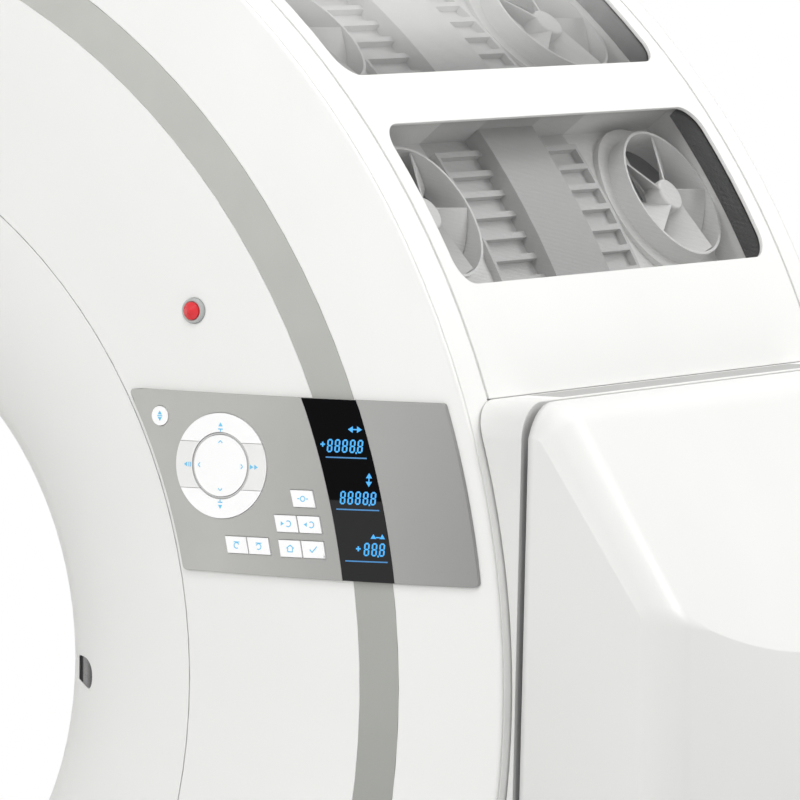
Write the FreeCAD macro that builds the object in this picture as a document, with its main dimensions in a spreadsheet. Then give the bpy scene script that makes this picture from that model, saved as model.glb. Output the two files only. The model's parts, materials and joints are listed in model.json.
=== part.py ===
"""CT scanner gantry: a tilting drum with a rotating ring inside, hung between two columns.

Millimetres. X runs to the right seen from the front, the front faces -Y, Z is up, and the
origin is on the floor under the middle of the bore. Heights called z in the outlines are
measured from the isocentre, the point where the bore axis (Y) and the tilt axis (X) cross.
"""
import FreeCAD
import Part
import Sketcher
import math
import os

from FreeCAD import Placement, Rotation, Vector

os.makedirs("parts", exist_ok=True)
doc = FreeCAD.newDocument("ct_gantry")

# ---------------------------------------------------------------------------------------------
# Driving dimensions
# ---------------------------------------------------------------------------------------------
DIMENSIONS = {
    # overall
    "iso_height": 1050, "bore_radius": 350, "skin_radius": 930, "seam_half": 343,
    "face_front": 437, "cover_wall": 4, "seam_gap": 4, "fit_gap": 0.3, "running_gap": 0.05,
    # front and rear faces: flat to the dome radius, then gently domed to the rim
    "flare_radius": 580, "flare_depth": 168, "throat_bend": 135, "flare_lap": 20,
    "dome_start": 620, "rim_radius": 927, "rim_drop": 47.4, "rim_edge": 5, "crease": 2,
    "lip_lap": 14, "band_inner": 780, "band_outer": 822, "band_depth": 2.6, "scan_half": 36,
    # drum windows
    "window_low": 31.65, "window_pitch": 15.65, "window_angle": 11.7, "window_half": 318,
    "window_corner": 30, "mesh_wall": 1, "mesh_margin": 1.3,
    # fan trays behind the windows
    "tray_floor": 862, "tray_wall": 3, "tray_angle": 13.2, "tray_shift": 0.5,
    "fan_place": 248, "duct_radius": 75, "duct_wall": 3, "duct_foot": 857, "duct_top": 892,
    "shoulder": 94, "shoulder_top": 869, "rib_height": 8, "rib_angle": 0.45,
    "rib_pitch": 1.67, "rib_inner": 54, "rib_outer": 143, "rib_border": 5, "band_half": 55,
    "band_rise": 21, "fan_clearance": 2, "fan_hub": 19, "fan_hub_edge": 3, "fan_pin": 3,
    "fan_foot": 868, "fan_height": 22, "fan_root": 32, "fan_tip": 60, "fan_root_pitch": 55,
    "fan_tip_pitch": 27, "fan_blade": 1.6, "fan_motor": 12, "strut_half": 2.5,
    "strut_height": 4,
    # side fairings and columns
    "side_top": 291, "side_x": 934, "side_lean": 0.0273, "side_gap": 8, "column_half": 373,
    "front_round": 37, "column_round": 42, "column_x": 1115, "column_shoulder": 980,
    "column_dip": 19, "column_crest": 94, "shoulder_round": 45, "column_foot": 6,
    "trim_half": 300, "trim_wall": 3, "trim_inner": 888, "trim_outer": 937,
    # base
    "foot_height": 12, "base_plate": 22, "base_half": 350, "base_inner": 930,
    "base_outer": 1100, "beam_inner": 215, "beam_outer": 300, "post_inner": 1010,
    "post_outer": 1070, "post_half": 180, "post_top": 90, "post_wall": 10,
    "anchor_radius": 9, "anchor_x": 1040, "anchor_y": 325, "foot_radius": 32,
    "stud_radius": 10, "stud_top": 62, "foot_x": 970, "foot_pitch": 100, "foot_y": 300,
    # tilt axle
    "axle_radius": 55, "axle_flange": 100, "flange_wall": 18, "axle_end": 1030,
    "slew_radius": 150, "slew_inner": 957, "worm_drop": 165, "worm_radius": 26,
    "worm_front": 130, "worm_back": 184, "tilt_motor": 30, "tilt_motor_length": 120,
    "bearing_radius": 110, "ear_inner": 852, "ear_outer": 882, "ear_half": 150,
    "ear_front": 130, "axle_bore": 70, "inlet_radius": 18, "inlet_bore": 9,
    "inlet_height": 160, "inlet_x": 1010, "inlet_length": 22, "inlet_plate_half": 45,
    # fixed ring and bearing
    "ring_front": 170, "ring_back": 195, "ring_inner": 430, "ring_outer": 850,
    "hoop_wall": 12, "flange_back": 337, "stiffener": 40, "stiffener_wall": 12,
    "race_radius": 452, "race_outer": 520, "race_front": 110,
    # rotor
    "rotor_inner": 405, "rotor_rim": 842, "rotor_front": 62, "rotor_back": 86,
    "hub_back": 165, "rim_front": 150, "rim_wall": 16, "belt_radius": 700,
    "belt_rim_back": 126, "belt_wall": 4, "belt_half": 14, "pulley_radius": 40,
    "pulley_place": 760, "pulley_angle": 250, "motor_radius": 55, "motor_back": 325,
    "shaft_radius": 12, "slip_inner": 535, "slip_outer": 640, "slip_wall": 12,
    "brush_angle": 330, "tube_place": 700, "tube_radius": 95, "tube_front": 180,
    "generator_angle": 15, "weight_angle": 165, "detector_inner": 600, "detector_outer": 700,
    # control panel on the right of the front face
    "panel_rise": 5, "panel_inner": 590, "panel_outer": 912, "panel_top": 293,
    "panel_foot": 107, "panel_corner": 9, "panel_floor": 1.1,
    "strip_inner": 771, "strip_outer": 826.5, "strip_wall": 2.6, "key_rise": 6.2,
    "key_low": 2.5, "key_gap": 0.5, "ring_gap": 0.5, "dial_x": 622.6, "dial_z": 219.1,
    "dial_outer": 54, "dial_inner": 34.5, "dial_disc": 31.5, "dial_split": 24,
    "round_x": 548.6, "round_z": 267.3, "round_radius": 10, "key_width": 24.5,
    "key_height": 17, "stop_x": 585.1, "stop_z": 376.3, "stop_radius": 9,
    "bezel_radius": 13,
    # positioning light window in the flare
    "lens_inner": 396, "lens_outer": 430, "lens_top": 7, "lens_foot": -29, "lens_sink": 1.5,
    "lens_wall": 2.5,
}

sheet = doc.addObject("Spreadsheet::Sheet", "sizes")
for row, (word, value) in enumerate(DIMENSIONS.items(), start=1):
    sheet.set("A%d" % row, word)
    sheet.set("B%d" % row, str(value))
    sheet.setAlias("B%d" % row, word)
doc.recompute()


class Size(float):
    """A number that remembers the sheet formula it comes from."""

    def __new__(cls, value, formula=None):
        size = float.__new__(cls, value)
        size.formula = formula or "(%.9g)" % float(value)
        return size

    @staticmethod
    def text(number):
        return number.formula if isinstance(number, Size) else "(%.9g)" % float(number)

    def __add__(self, other):
        return Size(float(self) + float(other), "(%s + %s)" % (self.formula, Size.text(other)))

    def __sub__(self, other):
        return Size(float(self) - float(other), "(%s - %s)" % (self.formula, Size.text(other)))

    def __mul__(self, other):
        return Size(float(self) * float(other), "(%s * %s)" % (self.formula, Size.text(other)))

    def __truediv__(self, other):
        return Size(float(self) / float(other), "(%s / %s)" % (self.formula, Size.text(other)))

    def __neg__(self):
        return Size(-float(self), "(-%s)" % self.formula)

    def __radd__(self, other):
        return Size(other) + self

    def __rsub__(self, other):
        return Size(other) - self

    def __rmul__(self, other):
        return Size(other) * self

    def root(self):
        return Size(math.sqrt(self), "sqrt(%s)" % self.formula)

    def sine(self):
        return Size(math.sin(math.radians(self)), "sin(%s)" % self.formula)

    def cosine(self):
        return Size(math.cos(math.radians(self)), "cos(%s)" % self.formula)

    def tangent(self):
        return Size(math.tan(math.radians(self)), "tan(%s)" % self.formula)

    def arccosine(self):
        return Size(math.degrees(math.acos(self)), "(acos(%s) / 1 deg)" % self.formula)


def size(word):
    return Size(getattr(sheet, word), "sizes.%s" % word)


def polar(radius, angle):
    """The (x, z) of a point at a radius and an angle counted from +X towards the top."""
    angle = Size(0) + angle
    return radius * angle.cosine(), radius * angle.sine()


nodes = []          # (name, object) of each sub-part, in the order it is written


# ---------------------------------------------------------------------------------------------
# Modelling helpers
# ---------------------------------------------------------------------------------------------
def drive(thing, prop, value):
    """Binds a property to the sheet, or sets it where the value is a plain number."""
    if isinstance(value, Size):
        thing.setExpression(prop, value.formula)
    else:
        setattr(thing, prop, value)


def keep(label, thing):
    thing.Label = label
    nodes.append((label, thing))
    return thing


def new_body(label, at=(0, 0, 0), turn=0, part=True, floor=False):
    """A body with its origin at (x, y, z) from the isocentre or the floor, turned about Y."""
    body = doc.addObject("PartDesign::Body", label)
    turn = Size(0) + turn
    body.Placement = Placement(Vector(0, 0, 0), Rotation(Vector(0, 1, 0), float(turn) or 1))
    height = Size(0) + at[2] if floor else size("iso_height") + at[2]
    drive(body, "Placement.Base.x", Size(0) + at[0])
    drive(body, "Placement.Base.y", Size(0) + at[1])
    drive(body, "Placement.Base.z", height)
    drive(body, "Placement.Rotation.Angle", turn)
    if part:
        keep(label, body)
    return body


def gather(label, things):
    """Several alike solids kept as one node."""
    group = doc.addObject("Part::Compound", label)
    group.Links = things
    return keep(label, group)


def mirrored(label, thing, part=True):
    """A copy of an object on the other side of the YZ plane."""
    copy = doc.addObject("Part::Mirroring", label)
    copy.Source = thing
    copy.Normal = Vector(1, 0, 0)
    if part:
        keep(label, copy)
    return copy


def boolean(kind, label, base, tool):
    made = doc.addObject("Part::" + kind, label)
    made.Base = base
    made.Tool = tool
    return made


def new_sketch(body, role="XY_Plane", offset=0, turn=0, turn_axis=Vector(0, 1, 0)):
    """A sketch on an origin plane, moved along its normal and turned about a line in it."""
    sketch = body.newObject("Sketcher::SketchObject", "Sketch")
    planes = [plane for plane in body.Origin.OriginFeatures if plane.Role == role]
    sketch.AttachmentSupport = [(planes[0], "")]
    sketch.MapMode = "FlatFace"
    sketch.AttachmentOffset = Placement(Vector(0, 0, 0), Rotation(turn_axis, float(turn)))
    if isinstance(turn, Size):
        drive(sketch, "AttachmentOffset.Rotation.Angle", turn)
    if offset:
        drive(sketch, "AttachmentOffset.Base.z", Size(0) + offset)
    return sketch


def turned_sketch(body, angle):
    """A sketch through the bore axis: x is the radius at a direction angle and y is Y."""
    return new_sketch(body, turn=-(Size(0) + angle))


def facing_sketch(body, angle, radius):
    """A sketch that faces outward at a direction angle and radius; its x runs along Y."""
    sketch = new_sketch(body, "YZ_Plane", turn=-angle, turn_axis=Vector(1, 0, 0))
    drive(sketch, "AttachmentOffset.Base.y", radius * angle.sine())
    drive(sketch, "AttachmentOffset.Base.z", radius * angle.cosine())
    return sketch


def fix(sketch, kind, *where):
    """Adds a dimension; its last entry is the value, bound to the sheet if it is a Size."""
    index = sketch.addConstraint(Sketcher.Constraint(kind, *where[:-1], float(where[-1])))
    if isinstance(where[-1], Size):
        sketch.setExpression("Constraints[%d]" % index, where[-1].formula)


def fix_point(sketch, curve, end, x, y):
    for kind, value, axis in (("DistanceX", x, -2), ("DistanceY", y, -1)):
        if isinstance(value, Size) or abs(value) > 1e-9:
            fix(sketch, kind, -1, 1, curve, end, value)
        else:
            sketch.addConstraint(Sketcher.Constraint("PointOnObject", curve, end, axis))


def arc_between(start, end, radius):
    """The shorter arc from start to end: a positive radius turns left, a negative one right."""
    middle = (start + end) * 0.5
    chord = end - start
    left = Vector(-chord.y, chord.x, 0).normalize()
    rise = math.sqrt(max(radius * radius - chord.Length ** 2 / 4, 0))
    centre = middle + left * (rise if radius > 0 else -rise)
    first, last = (start, end) if radius > 0 else (end, start)
    angles = [math.atan2(point.y - centre.y, point.x - centre.x) for point in (first, last)]
    return Part.ArcOfCircle(Part.Circle(centre, Vector(0, 0, 1), abs(radius)), *angles)


def outline(sketch, points):
    """A closed outline. A point is (x, y), or (x, y, radius) where an arc starts at it."""
    count = len(points)
    starts = [Vector(float(point[0]), float(point[1]), 0) for point in points]
    ends = []
    for index, point in enumerate(points):
        after = starts[(index + 1) % count]
        if len(point) == 3:
            curve = sketch.addGeometry(arc_between(starts[index], after, float(point[2])))
            ends.append((curve, 1, 2) if point[2] > 0 else (curve, 2, 1))
        else:
            curve = sketch.addGeometry(Part.LineSegment(starts[index], after))
            ends.append((curve, 1, 2))
    for index, point in enumerate(points):
        curve, first, last = ends[index]
        following, its_first, _ = ends[(index + 1) % count]
        sketch.addConstraint(Sketcher.Constraint("Coincident", curve, last, following, its_first))
        fix_point(sketch, curve, first, point[0], point[1])
        if len(point) == 3:
            fix(sketch, "Radius", curve, point[2] if point[2] > 0 else -point[2])


def circle(sketch, x, y, radius):
    curve = sketch.addGeometry(Part.Circle(Vector(float(x), float(y), 0), Vector(0, 0, 1),
                                           float(radius)))
    fix_point(sketch, curve, 3, x, y)
    fix(sketch, "Radius", curve, radius)


def box(left, right, low, high):
    return [(left, low), (right, low), (right, high), (left, high)]


def rounded_box(left, right, low, high, radius):
    return [(left + radius, low), (right - radius, low, radius), (right, low + radius),
            (right, high - radius, radius), (right - radius, high), (left + radius, high, radius),
            (left, high - radius), (left, low + radius, radius)]


def feature(body, kind, sketch, **values):
    made = body.newObject("PartDesign::" + kind, kind)
    made.Profile = sketch
    for prop, value in values.items():
        drive(made, prop, value)
    return made


def revolve(body, sketch, angle=360, cut=False):
    """Turns a sketch about its vertical axis, evenly to both sides of its plane."""
    return feature(body, "Groove" if cut else "Revolution", sketch,
                   ReferenceAxis=(sketch, ["V_Axis"]), Midplane=True, Angle=angle)


def pad(body, sketch, length, middle=False, back=False):
    return feature(body, "Pad", sketch, Length=length, Reversed=back,
                   SideType="Symmetric" if middle else "One side")


def pocket(body, sketch, length, middle=False, back=False):
    return feature(body, "Pocket", sketch, Length=length, Reversed=back,
                   SideType="Symmetric" if middle else "One side")


def pattern(body, made, sketch, axis, angle, count):
    """Repeats a feature about an axis of its sketch; the angle spans first to last."""
    repeat = body.newObject("PartDesign::PolarPattern", "PolarPattern")
    repeat.Originals = [made]
    repeat.Axis = (sketch, [axis])
    drive(repeat, "Angle", angle)
    repeat.Occurrences = count
    repeat.Refine = made.Refine
    body.Tip = repeat
    return repeat


def ring(label, points, at=(0, 0, 0), part=True):
    """A body turned from one closed (radius, y) outline about the Y line through its origin."""
    body = new_body(label, at, part=part)
    sketch = new_sketch(body)
    outline(sketch, points)
    revolve(body, sketch)
    return body


def sector(label, points, angle, spread, part=True):
    """As ring, but only over a spread of angle about a direction angle."""
    body = new_body(label, part=part)
    sketch = turned_sketch(body, angle)
    outline(sketch, points)
    revolve(body, sketch, spread)
    return body


def round_edges(body, wanted, radius):
    """Fillets the edges of the body's last feature that the test picks."""
    doc.recompute()
    base = body.Tip
    names = ["Edge%d" % (index + 1) for index, edge in enumerate(base.Shape.Edges)
             if wanted(edge)]
    made = body.newObject("PartDesign::Fillet", "Fillet")
    made.Base = (base, names)
    drive(made, "Radius", radius)
    return made


def runs_along(edge, direction):
    """Whether an edge is straight and lies along a direction."""
    if edge.Curve.TypeId != "Part::GeomLine":
        return False
    return abs(edge.Curve.Direction.dot(direction)) > 0.999


# ---------------------------------------------------------------------------------------------
# Outer covers: the front and rear halves share one profile; side is -1 for the front
# ---------------------------------------------------------------------------------------------
fit_gap = size("fit_gap")
wall = size("cover_wall")
skin_radius = size("skin_radius")
seam_half = size("seam_half")
seam_edge = seam_half + size("seam_gap") / 2
lip_edge = seam_half - size("lip_lap")
lip_outer = skin_radius - wall - fit_gap
face_front = size("face_front")
bore_radius = size("bore_radius")
dome_start = size("dome_start")
rim_radius = size("rim_radius")
rim_edge = size("rim_edge")
rim_reach = rim_radius - rim_edge - dome_start
dome_radius = (rim_reach * rim_reach + size("rim_drop") * size("rim_drop")) / (
    size("rim_drop") * 2)
flare_radius = size("flare_radius")
flare_depth = size("flare_depth")
throat_bend = size("throat_bend")
throat_y = face_front - flare_depth
flare_bend = ((flare_radius - bore_radius) * (flare_radius - bore_radius)
              - (flare_radius - bore_radius) * throat_bend * 2
              + flare_depth * flare_depth) / ((flare_depth - throat_bend) * 2)
side_top = size("side_top")


def dome_y(radius, rise=0):
    """How far the face lies in front of the isocentre at a radius beyond the dome's start."""
    reach = radius - dome_start
    bend = dome_radius + rise
    return face_front - dome_radius + (bend * bend - reach * reach).root()


def dome_slice(inner, outer, low, high, side=-1):
    """Outline of a layer of the face between two heights above it."""
    if inner > dome_start:
        return [(inner, dome_y(inner, low) * side, (dome_radius + low) * -side),
                (outer, dome_y(outer, low) * side),
                (outer, dome_y(outer, high) * side, (dome_radius + high) * side),
                (inner, dome_y(inner, high) * side)]
    return [(inner, (face_front + low) * side),
            (dome_start, (face_front + low) * side, (dome_radius + low) * -side),
            (outer, dome_y(outer, low) * side),
            (outer, dome_y(outer, high) * side, (dome_radius + high) * side),
            (dome_start, (face_front + high) * side),
            (inner, (face_front + high) * side)]


def face_cover(label, side):
    """Face shell: flat annulus, dome, rim with a fine crease, and a lip under the drum skin."""
    middle = face_front - dome_radius
    edge_y = dome_y(rim_radius - rim_edge, -rim_edge)
    grow = dome_radius / (dome_radius - rim_edge)
    crease = size("crease")
    lip_inner = lip_outer - wall
    back = rim_radius - rim_edge - wall
    start = flare_radius + 1
    return ring(label, [
        (start, face_front * side),
        (dome_start, face_front * side, dome_radius * -side),
        (dome_start + rim_reach * grow, (middle + (edge_y - middle) * grow) * side,
         rim_edge * -side),
        (rim_radius, edge_y * side),
        (rim_radius - crease, (edge_y - crease / 2) * side),
        (rim_radius + 0.5, (edge_y - crease) * side),
        (skin_radius, seam_edge * side),
        (lip_outer, seam_edge * side),
        (lip_outer, lip_edge * side),
        (lip_inner, lip_edge * side),
        (lip_inner, (edge_y - wall) * side),
        (back, dome_y(back, -wall) * side, (dome_radius - wall) * side),
        (dome_start, (face_front - wall) * side),
        (start, (face_front - wall) * side)])


def flare_curve(offset, side):
    """The flare from its seam to its throat, moved into the wall by offset."""
    turn = flare_bend - offset
    run = flare_radius - bore_radius - throat_bend
    gap = flare_bend - throat_bend
    middle = face_front - flare_bend
    return [(flare_radius, (middle + turn) * side, turn * side),
            (flare_radius - run / gap * turn, (middle + (throat_y - middle) / gap * turn) * side,
             (throat_bend - offset) * side),
            (bore_radius + offset, throat_y * side)]


def flare(label, side):
    """Trumpet from the face into the bore and on to the scan window, lapped under the face."""
    outside = flare_curve(0, side)
    inside = flare_curve(wall, side)
    scan_half = size("scan_half")
    bend = flare_bend - wall
    lap_back = bend - wall - fit_gap
    lap_start = flare_radius - (bend * bend - lap_back * lap_back).root()
    lap_end = flare_radius + size("flare_lap")
    lap_front_y = (face_front - wall - fit_gap) * side
    lap_back_y = (face_front - wall - fit_gap - wall) * side
    return ring(label, outside + [
        (bore_radius, scan_half * side), (bore_radius + wall, scan_half * side),
        (bore_radius + wall, throat_y * side, (throat_bend - wall) * -side),
        (inside[1][0], inside[1][1], bend * -side),
        (lap_start, lap_back_y), (lap_end, lap_back_y), (lap_end, lap_front_y),
        (flare_radius, lap_front_y)])


def clip_to(body, *outlines, reach=1200):
    """Keeps only what lies inside (x, z) outlines, by cutting away all that is around them."""
    sketch = new_sketch(body, "XZ_Plane")
    outline(sketch, box(-reach, reach, -reach, reach))
    for points in outlines:
        outline(sketch, points)
    return pocket(body, sketch, reach, back=True)


def hole(body, *shapes, back=True, depth=1200):
    """Cuts (x, z) shapes through the front half: outlines, or (x, z, radius) circles."""
    sketch = new_sketch(body, "XZ_Plane")
    for shape in shapes:
        if isinstance(shape, tuple):
            circle(sketch, *shape)
        else:
            outline(sketch, shape)
    return pocket(body, sketch, depth, back=back)


def window_turns():
    """Direction angles of the four drum windows, counted from +X towards the top."""
    low = size("window_low")
    high = low + size("window_pitch")
    return [low, high, 180 - high, 180 - low]


def make_covers():
    front = face_cover("front_cover", -1)
    band_inner, band_outer = size("band_inner"), size("band_outer")
    depth = size("band_depth")
    channel = new_sketch(front)
    outline(channel, [
        (band_inner, -face_front), (band_outer, -face_front),
        (band_outer, depth - dome_y(band_outer)), (band_inner, depth - dome_y(band_inner))])
    revolve(front, channel, cut=True)
    hole(front, (size("stop_x"), size("stop_z"), size("bezel_radius") + fit_gap))
    face_cover("rear_cover", 1)
    inner, outer = band_inner + fit_gap, band_outer - fit_gap
    ring("grey_band", [
        (inner, -dome_y(inner)), (outer, -dome_y(outer)),
        (outer, depth - fit_gap - dome_y(outer)), (inner, depth - fit_gap - dome_y(inner))])

    front_flare = flare("front_flare", -1)
    hole(front_flare, box(size("lens_inner"), size("lens_outer"), size("lens_foot"),
                          size("lens_top")))
    flare("rear_flare", 1)
    half = size("scan_half") - fit_gap
    ring("scan_window", box(bore_radius, bore_radius + wall / 2, -half, half))


def make_laser_lens():
    """Dark window of the positioning light, bent to the flare."""
    sink = size("lens_sink")
    under = sink + size("lens_wall")
    shape = flare_curve(sink, -1)
    behind = flare_curve(under, -1)
    lens = sector("laser_lens", shape + [
        (bore_radius + under, -throat_y, throat_bend - under),
        (behind[1][0], behind[1][1], flare_bend - under),
        (flare_radius, behind[0][1])], 0, 30)
    clip_to(lens, box(size("lens_inner") + fit_gap, size("lens_outer") - fit_gap,
                      size("lens_foot") + fit_gap, size("lens_top") - fit_gap))


def make_drum_skin():
    """Upper shell with its windows and the plain lower shell, parted at the side fairings."""
    half = seam_half - size("seam_gap") / 2
    for label, up in (("drum_skin_upper", 1), ("drum_skin_lower", -1)):
        body = ring(label, box(skin_radius - wall, skin_radius, -half, half))
        parting = new_sketch(body, offset=(side_top + fit_gap) * up)
        outline(parting, box(-1200, 1200, -500, 500))
        pocket(body, parting, 2500, back=up < 0)
        if up > 0:
            reach = skin_radius * (size("window_angle") / 2).sine()
            wide = size("window_half")
            for turn in window_turns():
                opening = facing_sketch(body, turn, Size(0))
                outline(opening, rounded_box(-wide, wide, -reach, reach, size("window_corner")))
                pocket(body, opening, 1200, back=True)


def make_window_mesh():
    """Fine wire mesh bent to the drum, one sheet behind each window."""
    top = skin_radius - wall - fit_gap
    half = lip_edge - 1
    sheets = []
    for turn in window_turns():
        sheets.append(sector("mesh_sheet", box(top - size("mesh_wall"), top, -half, half),
                             turn, size("window_angle") + size("mesh_margin"), part=False))
    gather("window_mesh", sheets)


# ---------------------------------------------------------------------------------------------
# Fan trays and fans behind the windows: the mechanism that shows
# ---------------------------------------------------------------------------------------------
def tray_turns():
    """Direction angles of the four trays, a little above the middles of their windows."""
    low, high = window_turns()[:2]
    shift = size("tray_shift")
    return [low + shift, high + shift, 180 - high - shift, 180 - low - shift]


def make_fan_tray(turn):
    """A box with two ducted fan seats, cooling cells between ribs and a smooth middle band."""
    floor, shell, angle = size("tray_floor"), size("tray_wall"), size("tray_angle")
    surface = floor + shell
    half = lip_edge - 1
    top = skin_radius - wall - fit_gap * 2 - size("mesh_wall")
    body = sector("fan_tray", box(floor, top, -half, half), turn, angle, part=False)

    cavity = turned_sketch(body, turn)
    outline(cavity, box(surface, top + 5, shell - half, half - shell))
    revolve(body, cavity, angle - 0.4, cut=True)

    band = turned_sketch(body, turn)
    band_half = size("band_half")
    outline(band, box(floor + 1, surface + size("band_rise"), -band_half, band_half))
    revolve(body, band, angle - 0.3)

    pitch = size("rib_pitch")
    rib = turned_sketch(body, turn + pitch * 3)
    near, far = size("rib_inner"), size("rib_outer")
    rib_top = surface + size("rib_height")
    outline(rib, box(floor + 1, rib_top, near, far))
    outline(rib, box(floor + 1, rib_top, -far, -near))
    ribs = revolve(body, rib, size("rib_angle"))
    pattern(body, ribs, rib, "V_Axis", pitch * 6, 7)
    border = turned_sketch(body, turn)
    inside = far - size("rib_border")
    outline(border, box(floor + 1, rib_top, inside, far))
    outline(border, box(floor + 1, rib_top, -far, -inside))
    revolve(body, border, pitch * 6)

    place, duct, shoulder = size("fan_place"), size("duct_radius"), size("shoulder")
    foot, motor = size("duct_foot"), size("fan_motor")

    def seat(start, end, *radii):
        sketch = facing_sketch(body, turn, start)
        for middle in (-place, place):
            for radius in radii:
                circle(sketch, middle, 0, radius)
        return pad(body, sketch, end - start)

    brim = facing_sketch(body, turn, foot)
    flat = half - place
    corner = (shoulder * shoulder - flat * flat).root()
    outline(brim, [(place + flat, -corner), (place + flat, corner, shoulder),
                   (place - shoulder, 0, shoulder)])
    outline(brim, [(-place - flat, corner), (-place - flat, -corner, shoulder),
                   (shoulder - place, 0, shoulder)])
    pad(body, brim, size("shoulder_top") - foot)
    seat(foot, size("duct_top"), duct + size("duct_wall"))
    bore = facing_sketch(body, turn, foot - 5)
    for middle in (-place, place):
        circle(bore, middle, 0, duct)
    pocket(body, bore, 60, back=True)

    seat(foot, size("fan_foot") - 1, motor)
    seat(foot, size("fan_foot") + size("fan_height") - 6, size("fan_pin"))
    strut = facing_sketch(body, turn, foot)
    half_strut = size("strut_half")
    for middle in (-place, place):
        for near, far in ((motor - 1, duct + 1), (-duct - 1, 1 - motor)):
            outline(strut, box(middle + near, middle + far, -half_strut, half_strut))
            outline(strut, box(middle - half_strut, middle + half_strut, near, far))
    pad(body, strut, size("strut_height"))
    return body


def make_fan_impeller(label, turn, middle):
    """Hub cap and five broad twisted blades on the duct's pin; z is the fan's own axis."""
    foot, height, hub = size("fan_foot"), size("fan_height"), size("fan_hub")
    edge = size("fan_hub_edge")
    x, z = polar(foot, turn)
    body = new_body(label, (x, middle, z), 90 - turn)
    profile = new_sketch(body, "XZ_Plane")
    bore = size("fan_pin") + size("running_gap")
    outline(profile, [(bore, 0), (hub, 0), (hub, height - edge, edge), (hub - edge, height),
                      (0, height), (0, height - 5), (bore, height - 5)])
    revolve(body, profile)

    sections = []
    fan_radius = size("duct_radius") - size("fan_clearance")
    for place, chord, pitch in ((size("fan_motor") + 1, size("fan_root"), size("fan_root_pitch")),
                                (fan_radius + 3, size("fan_tip"), size("fan_tip_pitch"))):
        section = new_sketch(body, "YZ_Plane", offset=place)
        along = (pitch.cosine() * chord / 2, pitch.sine() * chord / 2)
        across = (pitch.sine() * size("fan_blade") / -2, pitch.cosine() * size("fan_blade") / 2)
        centre = height * 0.4
        outline(section, [
            (-along[0] - across[0], centre - along[1] - across[1]),
            (along[0] - across[0], centre + along[1] - across[1]),
            (along[0] + across[0], centre + along[1] + across[1]),
            (-along[0] + across[0], centre - along[1] + across[1])])
        sections.append(section)
    blade = body.newObject("PartDesign::AdditiveLoft", "Blade")
    blade.Profile = sections[0]
    blade.Sections = [sections[1]]
    blade.Ruled = True
    blade.Refine = False
    pattern(body, blade, profile, "V_Axis", 360, 5)

    trim = new_sketch(body, offset=-30)
    circle(trim, 0, 0, fan_radius)
    circle(trim, 0, 0, fan_radius * 2)
    pocket(body, trim, 100, back=True)


def make_fans():
    trays = []
    place = size("fan_place")
    number = 0
    for turn in tray_turns():
        trays.append(make_fan_tray(turn))
        for middle in (-place, place):
            number += 1
            make_fan_impeller("fan_impeller_%d" % number, turn, middle)
    gather("fan_trays", trays)


# ---------------------------------------------------------------------------------------------
# Side fairings on the drum and columns beside it, parted by a leaning gap
# ---------------------------------------------------------------------------------------------
side_lean = size("side_lean")
column_half = size("column_half")


def side_face(height, inset=0):
    """X of the fairing's leaning outer face at a height over the isocentre."""
    return size("side_x") - inset + side_lean * height


def column_face(height):
    """X of the column's leaning inner face, across the gap from the fairing."""
    return side_face(height) + size("side_gap")


def make_side_fairing():
    """Box cover that fills the drum's side out to the gap, open towards the drum."""
    round_size = size("front_round")
    body = new_body("side_fairing_right")
    block = new_sketch(body, "XZ_Plane")
    outline(block, [(860, -side_top), (side_face(-side_top), -side_top),
                    (side_face(side_top), side_top), (860, side_top)])
    pad(body, block, column_half * 2, middle=True)
    round_edges(body, lambda edge: runs_along(edge, Vector(1, 0, 0)), round_size)
    inside = new_body("fairing_inside", part=False)
    lid = side_top - wall * 1.5
    hollow = new_sketch(inside, "XZ_Plane")
    outline(hollow, [(850, -lid), (side_face(-lid, wall), -lid), (side_face(lid, wall), lid),
                     (850, lid)])
    pad(inside, hollow, (column_half - wall) * 2, middle=True)
    round_edges(inside, lambda edge: runs_along(edge, Vector(1, 0, 0)), round_size - wall * 1.5)
    shell = boolean("Cut", "fairing_shell", body, inside)
    drum = doc.addObject("Part::Cylinder", "fairing_drum_cut")
    drive(drum, "Radius", skin_radius + fit_gap)
    drum.Height = 1000
    drum.Placement = Placement(Vector(0, 500, 0), Rotation(Vector(1, 0, 0), 90))
    drive(drum, "Placement.Base.z", size("iso_height"))
    axle = doc.addObject("Part::Cylinder", "fairing_axle_cut")
    drive(axle, "Radius", size("axle_radius") + 5)
    axle.Height = 1000
    axle.Placement = Placement(Vector(0, 0, 0), Rotation(Vector(0, 1, 0), 90))
    drive(axle, "Placement.Base.z", size("iso_height"))
    recess = doc.addObject("Part::Box", "fairing_trim_cut")
    drive(recess, "Length", size("trim_outer") - size("trim_inner"))
    drive(recess, "Width", size("trim_half") * 2)
    recess.Height = 20
    drive(recess, "Placement.Base.x", size("trim_inner"))
    drive(recess, "Placement.Base.y", -size("trim_half"))
    drive(recess, "Placement.Base.z", size("iso_height") + side_top - size("trim_wall"))
    for tool in (drum, axle, recess):
        shell = boolean("Cut", "side_fairing_right", shell, tool)
    nodes.remove(("side_fairing_right", body))
    body.Label = "fairing_block"
    keep("side_fairing_right", shell)
    mirrored("side_fairing_left", shell)


def make_side_trims():
    """Grey strips let into the tops of the fairings."""
    strip = new_body("trim_strip", part=False)
    sketch = new_sketch(strip, offset=side_top - size("trim_wall") + fit_gap)
    half = size("trim_half") - fit_gap
    outline(sketch, box(size("trim_inner") + fit_gap, size("trim_outer") - fit_gap, -half, half))
    pad(strip, sketch, size("trim_wall") - fit_gap)
    gather("side_trims", [strip, mirrored("trim_strip_left", strip, part=False)])


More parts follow.
